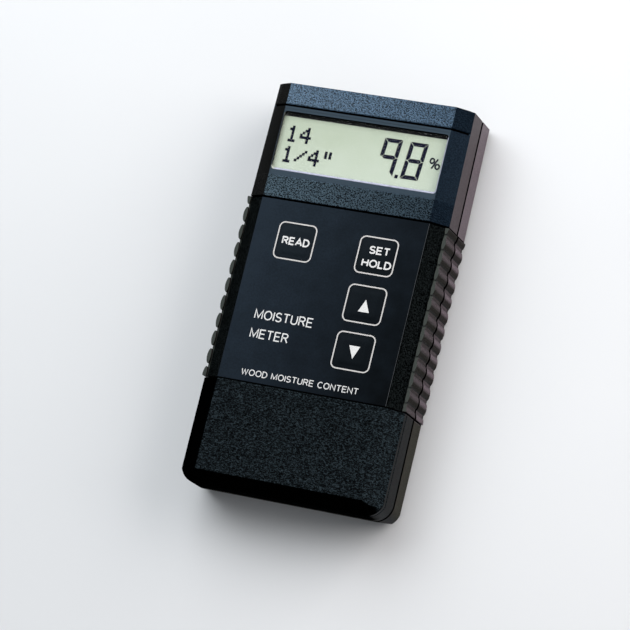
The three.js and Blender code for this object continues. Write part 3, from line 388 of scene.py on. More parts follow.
def case_upper_front(n, at, tops):
    """Colour and gloss of the front above the grip zone: head, display field, band and bevels, with
    painted highlights on the leather, painted light on the right bevel and painted shade on the left one.
    """
    # painted light on the right bevel, painted shade on the left bevel
    right_bevel_painted_light = n.mix_colour(tops["sand"], *CASE_TONES["right_bevel_painted_light"])
    left_bevel_painted_shade = n.mix_colour(tops["sand"], *CASE_TONES["left_bevel_painted_shade"])
    bevel = n.mix_colour(at["left_slope"], right_bevel_painted_light, left_bevel_painted_shade)
    # painted highlight: the leather's high spots take bright tones standing in for the key light's
    # reflection
    head = n.mix_colour(tops["fine"], HEAD_LOW, n.mix_colour(at["painted_light_leftward"], *HEAD_PAINTED_HIGHLIGHT))
    band = n.mix_colour(tops["fine"], BAND_LOW, n.mix_colour(at["painted_light_leftward"], *BAND_PAINTED_HIGHLIGHT))
    face = n.mix_colour(at["band"], n.mix_colour(at["field"], head, FIELD_TONE), band)
    colour = n.mix_colour(at["flat"], bevel, face)

    face_gloss = n.blend(at["field"], n.blend(at["painted_light_leftward"], *HEAD_GLOSS), FIELD_GLOSS)
    face_gloss = n.blend(at["band"], face_gloss, n.blend(at["painted_light_leftward"], *BAND_GLOSS))
    gloss = n.blend(at["flat"], n.blend(at["left_slope"], *BEVEL_GLOSS), face_gloss)
    return colour, gloss


def case_lower_front(n, at, tops):
    """Colour and gloss of the front of the grip zone and of the foot, with painted highlights on the
    foot's creases, painted light on the ribs' tops and painted shade, near black, on the foot's left and
    lower bevels.
    """
    # painted shade on the foot's bevels that face left and down the case
    bevels_in_painted_shade = n.highest(at["left_slope"], at["end_slope"])
    # painted highlights on the ridges of the foot's creases
    foot = n.mix_colour(tops["creased"], *CASE_TONES["foot"])
    foot = n.mix_colour(bevels_in_painted_shade, foot, FOOT_BEVEL_PAINTED_SHADE)
    grip = n.mix_colour(tops["grip_sand"], *CASE_TONES["grip"])
    # painted light on the ribs' tops
    grip = n.mix_colour(at["rib_top_painted_light"], grip, RIB_TOP_PAINTED_LIGHT)
    colour = n.mix_colour(at["grip"], foot, grip)
    gloss = n.blend(at["grip"], n.blend(bevels_in_painted_shade, FOOT_GLOSS, 0.0), 0.0)
    return colour, gloss


def case_material():
    """Moulded case: leather on the head, under the display and on the foot, smooth elsewhere."""
    n = Nodes("case_plastic")
    at = case_masks(n)
    bump, tops = case_relief(n, at)
    wall, wall_gloss = case_walls(n, at, tops)
    upper, upper_gloss = case_upper_front(n, at, tops)
    lower, lower_gloss = case_lower_front(n, at, tops)
    front = n.mix_colour(at["above_grip"], lower, upper)
    front_gloss = n.blend(at["above_grip"], lower_gloss, upper_gloss)
    colour = n.mix_colour(at["front"], wall, front)
    gloss = n.blend(at["front"], wall_gloss, front_gloss)
    # painted shade, near black and without gloss, in the joint between the shells, the seam and the groove
    colour = n.mix_colour(at["crevice_painted_shade"], colour, PAINTED_CREVICE_SHADE)
    n.link(n.blend(at["crevice_painted_shade"], gloss, 0.0), n.shader.inputs["Specular IOR Level"])
    worn = n.ramp(n.noise(0.8, 4, 0.7), 0.4, 0.75, 0.0, 0.07)
    matt = n.plus(at["foot"], at["grip"], clamp=True)
    rough = n.plus(n.blend(matt, 0.38, 0.48), worn)
    return n.finish(colour, rough, bump, IOR=1.5, Specular_Tint=(0.66, 0.85, 1.0, 1.0))


FILM_EDGE_PAINTED_HIGHLIGHT = (0.055, 0.062, 0.068)


def film_material(name, dark, light, gloss):
    """Printed polyester film: satin, with painted light making it lighter towards its upper left and
    darker towards its lower right, and a painted highlight on its right-facing cut edge.
    """
    n = Nodes(name)
    x, y, _ = n.xyz()
    # painted light: the film grows darker towards its lower right, away from the key light
    drift = n.ramp(n.math("SUBTRACT", n.times(y, 0.3), x), -38, 38)
    cloud = n.ramp(n.noise(0.12, 3, 0.55), 0.3, 0.7, -0.1, 0.1)
    drift = n.plus(drift, cloud, clamp=True)
    speck = n.ramp(n.noise(1.6, 3, 0.7), 0.35, 0.65, 0.75, 1.25)
    colour = n.mix_colour(n.times(drift, speck), dark, light)
    # painted highlight on the cut edge that faces right, towards the side light
    right_edge_highlight = n.ramp(n.xyz(n.coords.outputs["Normal"])[0], 0.7, 0.9)
    colour = n.mix_colour(right_edge_highlight, colour, FILM_EDGE_PAINTED_HIGHLIGHT)
    n.link(n.blend(drift, *gloss), n.shader.inputs["Specular IOR Level"])
    grain = n.noise(9.0, 2, 0.6)
    slow = n.noise(0.25, 2, 0.5)
    bump = n.bump(n.plus(n.times(grain, 0.25), n.times(slow, 0.6)), 0.02, 0.6)
    rough = n.ramp(n.noise(1.2, 4, 0.6), 0.3, 0.7, 0.36, 0.44)
    return n.finish(colour, rough, bump, IOR=1.47, Specular_Tint=(0.62, 0.82, 1.0, 1.0))


def ink_material(name, colour, rough=0.5, gloss=0.4):
    """Printed ink: slightly faded in places, rougher where it is worn."""
    n = Nodes(name)
    wear = n.ramp(n.noise(2.5, 4, 0.65), 0.35, 0.7)
    faded = tuple(c * 0.86 for c in colour)
    tone = n.mix_colour(wear, faded, colour)
    rough = n.blend(wear, rough + 0.08, rough - 0.04)
    bump = n.bump(n.noise(14.0, 2, 0.6), 0.01, 0.5)
    return n.finish(tone, rough, bump, Specular_IOR_Level=gloss)


LCD_LIGHT = (0.55, 0.635, 0.53)     # towards the lower edge
LCD_PAINTED_SHADE = (0.47, 0.55, 0.43)       # painted shade from the rim, towards the upper edge
LCD_SPARKLE = (0.62, 0.70, 0.59)
LCD_SHADE_HEIGHTS = (38, 62)                # heights between which the painted shade comes in


def lcd_material():
    """Reflective display: grey-green with a fine sparkle and a slow drift in tone that is painted shade
    from the rim, darker towards its upper edge.
    """
    n = Nodes("lcd_reflector")
    x, y, _ = n.xyz()
    drift = n.ramp(n.plus(y, n.times(x, -0.12)), *LCD_SHADE_HEIGHTS, smooth=True)
    cloud = n.ramp(n.noise(0.14, 3, 0.6), 0.3, 0.7, -0.2, 0.2)
    colour = n.mix_colour(n.plus(drift, cloud, clamp=True), LCD_LIGHT, LCD_PAINTED_SHADE)
    speck = n.ramp(n.noise(5.0, 3, 0.7), 0.42, 0.6)
    colour = n.mix_colour(n.times(speck, 0.16), colour, LCD_SPARKLE)
    bump = n.bump(n.noise(5.0, 2, 0.6), 0.01, 0.4)
    return n.finish(colour, n.blend(speck, 0.62, 0.52), bump, Specular_IOR_Level=0.15)


def window_material():
    """Clear acrylic with faint smears."""
    n = Nodes("clear_window")
    smear = n.noise(0.3, 3, 0.6)
    bump = n.bump(smear, 0.01, 0.4)
    rough = n.ramp(n.noise(1.5, 3, 0.6), 0.3, 0.7, 0.04, 0.10)
    return n.finish((0.04, 0.05, 0.05), rough, bump, Alpha=0.05, IOR=1.49)


def rim_material():
    """Moulded edge of the display opening: painted highlight below and at both sides, coloured like the
    display at the left and lavender elsewhere, and painted shade along the top.
    """
    n = Nodes("display_rim")
    x, y, _ = n.xyz()
    # painted shade along the top of the opening, painted highlight elsewhere
    below_shaded_top = n.ramp(y, VIEW_UPPER - 0.6, VIEW_UPPER - 1.3)
    rim_painted_light = n.times(below_shaded_top, n.ramp(n.noise(0.35, 3, 0.6), 0.3, 0.6, 0.7, 1.0))
    past_left = n.ramp(x, VIEW_LEFT + 0.75, VIEW_LEFT + 1.75)
    rim_highlight_tone = n.mix_colour(past_left, (0.44, 0.47, 0.42), (0.38, 0.40, 0.52))
    colour = n.mix_colour(rim_painted_light, (0.001, 0.001, 0.002), rim_highlight_tone)
    rough = n.ramp(n.noise(1.4, 3, 0.6), 0.3, 0.7, 0.18, 0.28)
    bump = n.bump(n.noise(3.0, 2, 0.6), 0.01, 0.4)
    return n.finish(colour, rough, bump)


def plain_plastic(name, colour, low, high, grain=4.0, depth=0.02):
    """Cloudy plastic with a grain; its roughness wanders between low and high."""
    n = Nodes(name)
    cloud = n.ramp(n.noise(0.4, 4, 0.6), 0.3, 0.7)
    darker = tuple(c * 0.75 for c in colour)
    rough = n.ramp(n.noise(1.7, 4, 0.65), 0.3, 0.7, low, high)
    bump = n.bump(n.noise(grain, 3, 0.6), depth, 0.6)
    return n.finish(n.mix_colour(cloud, darker, colour), rough, bump)


def metal(name, colour, low, high):
    """Metal with patches of tarnish; its roughness wanders between low and high."""
    n = Nodes(name)
    grain = n.noise(6.0, 3, 0.6)
    tarnish = n.ramp(n.noise(0.8, 4, 0.65), 0.35, 0.75)
    dull = tuple(c * 0.72 for c in colour)
    rough = n.ramp(grain, 0.3, 0.7, low, high)
    bump = n.bump(grain, 0.01, 0.5)
    return n.finish(n.mix_colour(tarnish, colour, dull), rough, bump, Metallic=1.0)


def board_material():
    """Solder mask with copper tracks showing through as a slightly lighter green."""
    n = Nodes("circuit_board")
    tracks = n.cell_edges(0.35, n.stretched(1, 2.2, 1))
    track = n.ramp(tracks, 0.05, 0.09, 1.0, 0.0)
    colour = n.mix_colour(track, (0.010, 0.075, 0.030), (0.022, 0.150, 0.060))
    rough = n.ramp(n.noise(1.0, 3, 0.6), 0.3, 0.7, 0.28, 0.42)
    bump = n.bump(track, 0.03, 0.6)
    return n.finish(colour, rough, bump, IOR=1.5)


def floor_material():
    """Pale matt floor with a very slow drift in tone."""
    n = Nodes("studio_floor")
    cloud = n.ramp(n.noise(0.004, 3, 0.5), 0.3, 0.7)
    colour = n.mix_colour(cloud, (0.66, 0.68, 0.70), (0.70, 0.72, 0.74))
    return n.finish(colour, 0.75)


case_plastic = case_material()
overlay_film = film_material("overlay_film", (0.0018, 0.0024, 0.003), (0.0085, 0.014, 0.022), (0.02, 0.09))
key_film = film_material("key_film", (0.0006, 0.0009, 0.0012), (0.003, 0.005, 0.0075), (0.05, 0.12))
white_ink = ink_material("white_ink", (0.68, 0.69, 0.69))
line_ink = ink_material("outline_ink", (0.54, 0.53, 0.52))
lcd_reflector = lcd_material()
# black print, also standing in for painted shadow along the display's top
border_ink_and_shadow = ink_material("border_ink_and_shadow", (0.0008, 0.0008, 0.001), 0.7, 0.03)
segment_ink = ink_material("segment_ink", (0.006, 0.006, 0.020), 0.8, 0.0)
# painted shadow of the display's segments on the reflector
segment_painted_shadow = ink_material("segment_shade", (0.36, 0.39, 0.31), 0.8, 0.0)
clear_window = window_material()
holder_plastic = plain_plastic("holder_plastic", (0.012, 0.012, 0.014), 0.45, 0.6)
rim_plastic = rim_material()
sensor_plastic = plain_plastic("sensor_plastic", (0.011, 0.012, 0.014), 0.28, 0.42, 6.0, 0.015)
snap_plastic = plain_plastic("snap_plastic", (0.012, 0.012, 0.012), 0.6, 0.75)
chip_body = plain_plastic("chip_body", (0.012, 0.012, 0.014), 0.55, 0.7, 8.0, 0.02)
header_plastic = plain_plastic("header_plastic", (0.011, 0.011, 0.012), 0.5, 0.6)
contact_rubber = plain_plastic("contact_rubber", (0.11, 0.12, 0.13), 0.7, 0.85)
foam = plain_plastic("foam", (0.03, 0.03, 0.032), 0.9, 1.0, 3.0, 0.25)
lead_red = plain_plastic("lead_red", (0.42, 0.015, 0.012), 0.35, 0.5)
lead_black = plain_plastic("lead_black", (0.012, 0.012, 0.012), 0.35, 0.5)
battery_can = plain_plastic("battery_can", (0.020, 0.022, 0.026), 0.25, 0.38, 1.0, 0.01)
dome_steel = metal("dome_steel", (0.66, 0.67, 0.68), 0.22, 0.36)
screw_zinc = metal("screw_zinc", (0.42, 0.43, 0.44), 0.28, 0.42)
component_can = metal("component_can", (0.62, 0.63, 0.64), 0.25, 0.4)
terminal_steel = metal("terminal_steel", (0.62, 0.62, 0.60), 0.25, 0.38)
electrode_copper = metal("electrode_copper", (0.72, 0.40, 0.22), 0.25, 0.4)
circuit_board = board_material()

BY_SLOT = {
    "case_plastic": case_plastic,
    "overlay_film": overlay_film,
    "key_film": key_film,
    "clear_window": clear_window,
    "lcd": lcd_reflector,
    "holder_plastic": holder_plastic,
    "contact_rubber": contact_rubber,
    "dome_steel": dome_steel,
    "circuit_board": circuit_board,
    "chip_body": chip_body,
    "component_can": component_can,
    "sensor_plastic": sensor_plastic,
    "electrode_copper": electrode_copper,
    "header_plastic": header_plastic,
    "battery_can": battery_can,
    "terminal_steel": terminal_steel,
    "snap_plastic": snap_plastic,
    "lead_red": lead_red,
    "lead_black": lead_black,
    "foam": foam,
    "screw_zinc": screw_zinc,
}

# ------------------------------------------------------------------ CAD pieces: materials and edges

SLOT_OF = {part["node"]: part["material_slot"] for part in frame["record"]["subparts"]}

# Rounding of the sharp edges, in millimetres; pieces that are not listed get the plain one.
PLAIN_EDGE = 0.06
EDGE_WIDTH = {
    "front_shell": 0.22,
    "rear_shell": 0.22,
    "battery_door": 0.18,
    "keypad_overlay": 0.08,
    "display_window": 0.1,
    "sensor_cover": 0.12,
}
WELD_REACH = 0.002    # corners closer than this are joined
FLAT_ANGLE = math.radians(0.8)
SHARP_ANGLE = math.radians(26)


def soften(obj, width):
    """Joins the flat faces, rounds the sharp edges by `width` millimetres, shades the rest smooth."""
    mesh = obj.data
    for polygon in mesh.polygons:
        polygon.use_smooth = True
    weld = obj.modifiers.new("weld", "WELD")
    weld.merge_threshold = WELD_REACH * MM
    flat = obj.modifiers.new("flat", "DECIMATE")
    flat.decimate_type = "DISSOLVE"
    flat.angle_limit = FLAT_ANGLE
    edge = obj.modifiers.new("edge", "BEVEL")
    edge.width = width * MM
    edge.segments = 2
    edge.limit_method = "ANGLE"
    edge.angle_limit = SHARP_ANGLE
    edge.use_clamp_overlap = True
    edge.harden_normals = True


for node, obj in frame["nodes"].items():
    obj.data.materials.clear()
    obj.data.materials.append(BY_SLOT[SLOT_OF[node]])
    if obj.data.has_custom_normals:
        with bpy.context.temp_override(object=obj, active_object=obj, selected_objects=[obj]):
            bpy.context.view_layer.objects.active = obj
            bpy.ops.mesh.customdata_custom_splitnormals_clear()
    soften(obj, EDGE_WIDTH.get(node, PLAIN_EDGE))

# ------------------------------------------------------------------ mesh tools


def add_object(name, mesh, material, body):
    """Puts a mesh in the scene with its material, riding on a body."""
    obj = bpy.data.objects.new(name, mesh)
    bpy.context.scene.collection.objects.link(obj)
    mesh.materials.clear()
    mesh.materials.append(material)
    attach(obj, body)
    return obj


def rounded_points(cx, cy, half_w, half_l, radius, steps=8):
    """Points round a rectangle with round corners, in millimetres."""
    points = []
    for index, (sx, sy) in enumerate(((1, 1), (-1, 1), (-1, -1), (1, -1))):
        for step in range(steps + 1):
            turn = math.pi / 2 * (index + step / steps)
            points.append((
                cx + sx * (half_w - radius) + radius * math.cos(turn),
                cy + sy * (half_l - radius) + radius * math.sin(turn),
            ))
    return points


def loft_mesh(name, loops):
    """Closed mesh through loops of (x, y, z) points in millimetres, all with the same count."""
    mesh = bpy.data.meshes.new(name)
    bm = bmesh.new()
    rows = [[bm.verts.new(Vector(p) * MM) for p in loop] for loop in loops]
    count = len(rows[0])
    for row_a, row_b in zip(rows, rows[1:]):
        for i in range(count):
            j = (i + 1) % count
            bm.faces.new((row_a[i], row_a[j], row_b[j], row_b[i]))
    bm.faces.new(list(reversed(rows[0])))
    bm.faces.new(rows[-1])
    bmesh.ops.recalc_face_normals(bm, faces=bm.faces)
    bm.to_mesh(mesh)
    bm.free()
    return mesh


def ring_mesh(name, sections):
    """Closed ring swept through loops listed once round the ring's cross-section."""
    mesh = bpy.data.meshes.new(name)
    bm = bmesh.new()
    rows = [[bm.verts.new(Vector(p) * MM) for p in loop] for loop in sections]
    count = len(rows[0])
    for k in range(len(rows)):
        row_a, row_b = rows[k], rows[(k + 1) % len(rows)]
        for i in range(count):
            j = (i + 1) % count
            bm.faces.new((row_a[i], row_a[j], row_b[j], row_b[i]))
    bmesh.ops.recalc_face_normals(bm, faces=bm.faces)
    bm.to_mesh(mesh)
    bm.free()
    return mesh


def slab_mesh(name, outlines, z0, z1):
    """One mesh of flat slabs, each from a convex outline of (x, y) points."""
    mesh = bpy.data.meshes.new(name)
    bm = bmesh.new()
    for outline in outlines:
        low = [bm.verts.new(Vector((x, y, z0)) * MM) for x, y in outline]
        high = [bm.verts.new(Vector((x, y, z1)) * MM) for x, y in outline]
        bm.faces.new(list(reversed(low)))
        bm.faces.new(high)
        for i in range(len(outline)):
            j = (i + 1) % len(outline)
            bm.faces.new((low[i], low[j], high[j], high[i]))
    bmesh.ops.recalc_face_normals(bm, faces=bm.faces)
    bm.to_mesh(mesh)
    bm.free()
    return mesh


def at_height(points, z):
    return [(x, y, z) for x, y in points]


def arc(cx, cy, rx, ry, start, end, steps=14):
    """Points along an ellipse arc, angles in degrees."""
    turns = [math.radians(start + (end - start) * k / steps) for k in range(steps + 1)]
    return [(cx + rx * math.cos(t), cy + ry * math.sin(t)) for t in turns]


# Stroke letters: width and centre lines in a box of height 1.
LETTERS = {
    "A": (0.80, [[(0, 0), (0.40, 1), (0.80, 0)], [(0.14, 0.33), (0.66, 0.33)]]),
    "D": (0.70, [[(0, 0), (0, 1)] + arc(0.26, 0.5, 0.44, 0.5, 90, -90) + [(0, 0)]]),
    "E": (0.62, [[(0.62, 1), (0, 1), (0, 0), (0.62, 0)], [(0, 0.52), (0.56, 0.52)]]),
    "H": (0.68, [[(0, 0), (0, 1)], [(0.68, 0), (0.68, 1)], [(0, 0.52), (0.68, 0.52)]]),
    "I": (0.0, [[(0, 0), (0, 1)]]),
    "L": (0.54, [[(0, 1), (0, 0), (0.54, 0)]]),
    "M": (0.86, [[(0, 0), (0, 1), (0.43, 0.1), (0.86, 1), (0.86, 0)]]),
    "O": (0.84, [arc(0.42, 0.5, 0.42, 0.5, 90, 450, 28)]),
    "R": (0.68, [
        [(0, 0), (0, 1)] + arc(0.38, 0.76, 0.26, 0.24, 90, -90) + [(0, 0.52)],
        [(0.36, 0.52), (0.68, 0)],
    ]),
    "S": (0.64, [
        arc(0.32, 0.745, 0.29, 0.255, 25, 270) + arc(0.32, 0.245, 0.32, 0.245, 90, -155)[1:],
    ]),
    "T": (0.68, [[(0, 1), (0.68, 1)], [(0.34, 1), (0.34, 0)]]),
    "U": (0.68, [[(0, 1)] + arc(0.34, 0.33, 0.34, 0.33, 180, 360) + [(0.68, 1)]]),
    "C": (0.72, [arc(0.40, 0.5, 0.40, 0.5, 48, 312, 20)]),
    "N": (0.70, [[(0, 0), (0, 1), (0.70, 0), (0.70, 1)]]),
    "W": (1.00, [[(0, 1), (0.25, 0), (0.50, 0.9), (0.75, 0), (1.00, 1)]]),
    " ": (0.25, []),
    "%": (1.05, [
        arc(0.21, 0.76, 0.21, 0.24, 90, 450, 20),
        arc(0.84, 0.24, 0.21, 0.24, 90, 450, 20),
        [(0.28, 0), (0.77, 1)],
    ]),
}


LETTER_GAP = 0.27       # between letters, in letter heights
STROKE_LIFT = 0.002     # crossing strokes differ this much in height, over four levels


def ribbon(bm, points, width, z0, z1):
    """Adds a flat strip of constant width along a line of (x, y) points in millimetres."""
    closed = math.dist(points[0], points[-1]) < 1e-6
    if closed:
        points = points[:-1]
    count = len(points)
    left, right = [], []
    for k, point in enumerate(points):
        before = points[k - 1] if k or closed else None
        after = points[(k + 1) % count] if k + 1 < count or closed else None
        here = Vector(point)
        way_in = (here - Vector(before)).normalized() if before else None
        way_out = (Vector(after) - here).normalized() if after else None
        way_in = way_in or way_out
        way_out = way_out or way_in
        mean = (way_in + way_out).normalized()
        side = Vector((-mean.y, mean.x)) * (width / 2 / max(mean.dot(way_in), 0.5))
        left.append(here + side)
        right.append(here - side)
    low = [[bm.verts.new((p.x * MM, p.y * MM, z0 * MM)) for p in row] for row in (left, right)]
    top = [[bm.verts.new((p.x * MM, p.y * MM, z1 * MM)) for p in row] for row in (left, right)]
    last = count if closed else count - 1
    for k in range(last):
        m = (k + 1) % count
        bm.faces.new((top[0][k], top[1][k], top[1][m], top[0][m]))
        bm.faces.new((low[0][m], low[1][m], low[1][k], low[0][k]))
        bm.faces.new((top[0][m], low[0][m], low[0][k], top[0][k]))
        bm.faces.new((top[1][k], low[1][k], low[1][m], top[1][m]))
    if not closed:
        bm.faces.new((top[0][0], low[0][0], low[1][0], top[1][0]))
        bm.faces.new((top[1][-1], low[1][-1], low[0][-1], top[0][-1]))


def lettering(name, text, centre, width, height, stroke, z, material, body):
    """Printed capitals, `width` by `height` overall, drawn with strokes of one width."""
    advance = sum(LETTERS[letter][0] for letter in text) + LETTER_GAP * (len(text) - 1)
    scale_x = (width - stroke) / advance
    scale_y = height - stroke
    left = centre[0] - (width - stroke) / 2
    bottom = centre[1] - scale_y / 2
    bm = bmesh.new()
    cursor = 0.0
    layer = 0
    for letter in text:
        letter_width, strokes = LETTERS[letter]
        for line in strokes:
            points = [(left + (cursor + x) * scale_x, bottom + y * scale_y) for x, y in line]
            lift = STROKE_LIFT * (layer % 4)
            ribbon(bm, points, stroke, z, z + PRINT + lift)
            layer += 1
        cursor += letter_width + LETTER_GAP
    bmesh.ops.recalc_face_normals(bm, faces=bm.faces)
    mesh = bpy.data.meshes.new(name)
    bm.to_mesh(mesh)
    bm.free()
    add_object(name, mesh, material, body)


# ------------------------------------------------------------------ keys

# Sizes and places of the keys are in millimetres.
KEY_WORDS = {
    "read_key": [("READ", (-14.4, 15.8), 9.9)],
    "set_hold_key": [("SET", (15.45, 17.3), 7.4), ("HOLD", (15.4, 12.7), 10.5)],
}
ARROWS = {
    "up_key": [(14.85, 0.3), (12.95, -4.0), (16.85, -4.0)],
    "down_key": [(12.9, -15.7), (16.8, -15.7), (14.95, -20.1)],
}
KEY_HALF = (6.1, 5.7)
HOLE_HALF = (6.3, 5.9)
KEY_CORNER = 1.9
HOLE_CORNER = KEY_CORNER + 0.2
CAP_HEIGHT = 2.75
KEY_STROKE = 0.52
LINE_WIDTH = 0.44
LINE_OFFSET = 0.16    # from the hole's edge to the line
LINE_CORNER = 1.5
SKIRT_INSET = 0.28    # how far the skirt reaches inside the hole
SKIRT_HEIGHT = 0.012
KEY_WAIST = 1.6       # from the top of the key's box down to a loop on its straight wall
KEY_RISE = 0.12       # from the key's low rim up to its pad
RIM_DROP = 0.02       # the rim's height below the film
RIM_CHAMFER = 0.06
SLOPE = (0.3, 2.3)    # inset of the slope's start and end
SLOPE_STEPS = 8
PAD_INSETS = (3.4, 4.6)
PAD_CORNER = 0.6
PAD_DISH = 0.004      # how much the pad's middle is lower than its border
PAD_EDGE = 0.04       # rounding of the pad's sharpest edges
PAD_SHARP = math.radians(50)
FLANGE = (1.75, 2.55)  # heights of the flange above the plunger's foot
FLANGE_REACH = 1.1
FLANGE_CORNER = 0.4
STEM_RADIUS = 2.0
INK_LIFT = 0.002      # from the pad to the print on it


def hole_outline(cx, cy, grow, corner):
    """Outline of a key's hole in the film, grown outwards."""
    return rounded_points(cx, cy, HOLE_HALF[0] + grow, HOLE_HALF[1] + grow, corner + grow)


def inset_outline(cx, cy, inset, corner, z):
    """The key's outline pulled in, at a height."""
    half = (KEY_HALF[0] - inset, KEY_HALF[1] - inset)
    return at_height(rounded_points(cx, cy, *half, corner), z)


def key_piece(node):
    """Embossed key: a low rim, a soft slope and a flat pad, with its flange and plunger below."""
    low, high = box_mm(node)
    cx, cy = (low[0] + high[0]) / 2, (low[1] + high[1]) / 2
    rim = FILM_TOP - RIM_DROP
    pad = rim + KEY_RISE
    loops = [
        inset_outline(cx, cy, 0.0, KEY_CORNER, high[2] - KEY_WAIST),
        inset_outline(cx, cy, 0.0, KEY_CORNER, rim - RIM_CHAMFER),
        inset_outline(cx, cy, RIM_CHAMFER, KEY_CORNER - RIM_CHAMFER, rim),
    ]
    for step in range(SLOPE_STEPS + 1):
        share = step / SLOPE_STEPS
        inset = SLOPE[0] + (SLOPE[1] - SLOPE[0]) * share
        ease = share * share * (3 - 2 * share)
        corner = max(KEY_CORNER - 0.45 * inset, 0.8)
        loops.append(inset_outline(cx, cy, inset, corner, rim + KEY_RISE * ease))
    loops.append(inset_outline(cx, cy, PAD_INSETS[0], PAD_CORNER, pad))
    loops.append(inset_outline(cx, cy, PAD_INSETS[1], PAD_CORNER, pad - PAD_DISH))

    flange_low, flange_high = (low[2] + height for height in FLANGE)
    round_stem = rounded_points(cx, cy, STEM_RADIUS, STEM_RADIUS, STEM_RADIUS - 0.001)
    stem = [
        at_height(round_stem, low[2]),
        at_height(round_stem, flange_low),
        inset_outline(cx, cy, -FLANGE_REACH, FLANGE_CORNER, flange_low),
        inset_outline(cx, cy, -FLANGE_REACH, FLANGE_CORNER, flange_high),
        inset_outline(cx, cy, 0.0, KEY_CORNER, flange_high),
    ]
    mesh = loft_mesh(node + "_pad", stem + loops)
    for polygon in mesh.polygons:
        polygon.use_smooth = True
    obj = add_object(node + "_pad", mesh, key_film, node + "_body")
    edge = obj.modifiers.new("edge", "BEVEL")
    edge.width = PAD_EDGE * MM
    edge.segments = 1
    edge.limit_method = "ANGLE"
    edge.angle_limit = PAD_SHARP
    edge.harden_normals = True
    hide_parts(node)
    return pad


def ring_round_key(name, node, inner, outer, height, material, corner=HOLE_CORNER):
    """Flat ring on the film between two outlines round a key, grown from the hole's edge."""
    low, high = box_mm(node)
    cx, cy = (low[0] + high[0]) / 2, (low[1] + high[1]) / 2
    inside = hole_outline(cx, cy, inner, corner)
    outside = hole_outline(cx, cy, outer, corner)
    sections = [
        at_height(inside, FILM_TOP),
        at_height(outside, FILM_TOP),
        at_height(outside, FILM_TOP + height),
        at_height(inside, FILM_TOP + height),
    ]
    add_object(name, ring_mesh(name, sections), material, CASE)


for key in ("read_key", "set_hold_key", "up_key", "down_key"):
    print_z = key_piece(key) + INK_LIFT
    ring_round_key(key + "_skirt", key, -SKIRT_INSET, LINE_OFFSET, SKIRT_HEIGHT, key_film)
    line_end = LINE_OFFSET + LINE_WIDTH
    ring_round_key(key + "_line", key, LINE_OFFSET, line_end, PRINT, line_ink, LINE_CORNER)
    for text, centre, width in KEY_WORDS.get(key, []):
        lettering(
            "print_" + text.lower(), text, centre, width, CAP_HEIGHT, KEY_STROKE, print_z,
            white_ink, key + "_body",
        )
    if key in ARROWS:
        arrow = slab_mesh(key + "_arrow", [ARROWS[key]], print_z, print_z + PRINT)
        add_object(key + "_arrow", arrow, white_ink, key + "_body")

# ------------------------------------------------------------------ film print

# Name of the piece, its words, their centre, width and height, and the width of the strokes.
FILM_PRINT = [
    ("print_moisture", "MOISTURE", (-12.0, -10.6), 21.0, 3.3, 0.42),
    ("print_meter", "METER", (-15.6, -17.2), 13.8, 3.3, 0.42),
    ("print_use", "WOOD MOISTURE CONTENT", (-1.2, -30.6), 42.0, 2.2, 0.3),
]
for name, text, centre, width, height, stroke in FILM_PRINT:
    lettering(name, text, centre, width, height, stroke, FILM_TOP, white_ink, CASE)

# ------------------------------------------------------------------ display content

SEGMENT_Z = lcd_high[2] + 0.05
SHADE_Z = lcd_high[2] + 0.01
SHADE_SHIFT = (-0.16, 0.10)
SEGMENT_HEIGHT = 0.02
SHADE_HEIGHT = 0.01

DIGIT_WIDTH = 6.4
DIGIT_HEIGHT = 13.0
DIGIT_STROKE = 1.35
DIGIT_GAP = 0.14       # how far each bar stops short of its corners
DIGIT_SLANT = 0.075    # sideways lean per height
DOT_PITCH = 0.80
DOT_SIDE = DOT_PITCH * 1.12
DOT_COLUMNS = 6        # columns from one letter to the next

GLYPHS = {
    "1": ["..#..", ".##..", "..#..", "..#..", "..#..", "..#..", ".###."],
    "4": ["...#.", "..##.", ".#.#.", "#..#.", "#####", "...#.", "...#."],
    "/": [".....", "....#", "...#.", "..#..", ".#...", "#....", "....."],
    '"': [".#.#.", ".#.#.", ".#.#.", ".....", ".....", ".....", "....."],
}


def rectangle(x0, y0, x1, y1):
    return [(x0, y0), (x1, y0), (x1, y1), (x0, y1)]


def dot_text(text, left, top):
    """Outlines of the dots of a dot-matrix text."""
    dots = []
    for place, glyph in enumerate(text):
        for row, line in enumerate(GLYPHS[glyph]):
            for column, mark in enumerate(line):
                if mark != "#":
                    continue
                x = left + (place * DOT_COLUMNS + column) * DOT_PITCH
                y = top - row * DOT_PITCH
                dots.append(rectangle(x, y - DOT_SIDE, x + DOT_SIDE, y))
    return dots


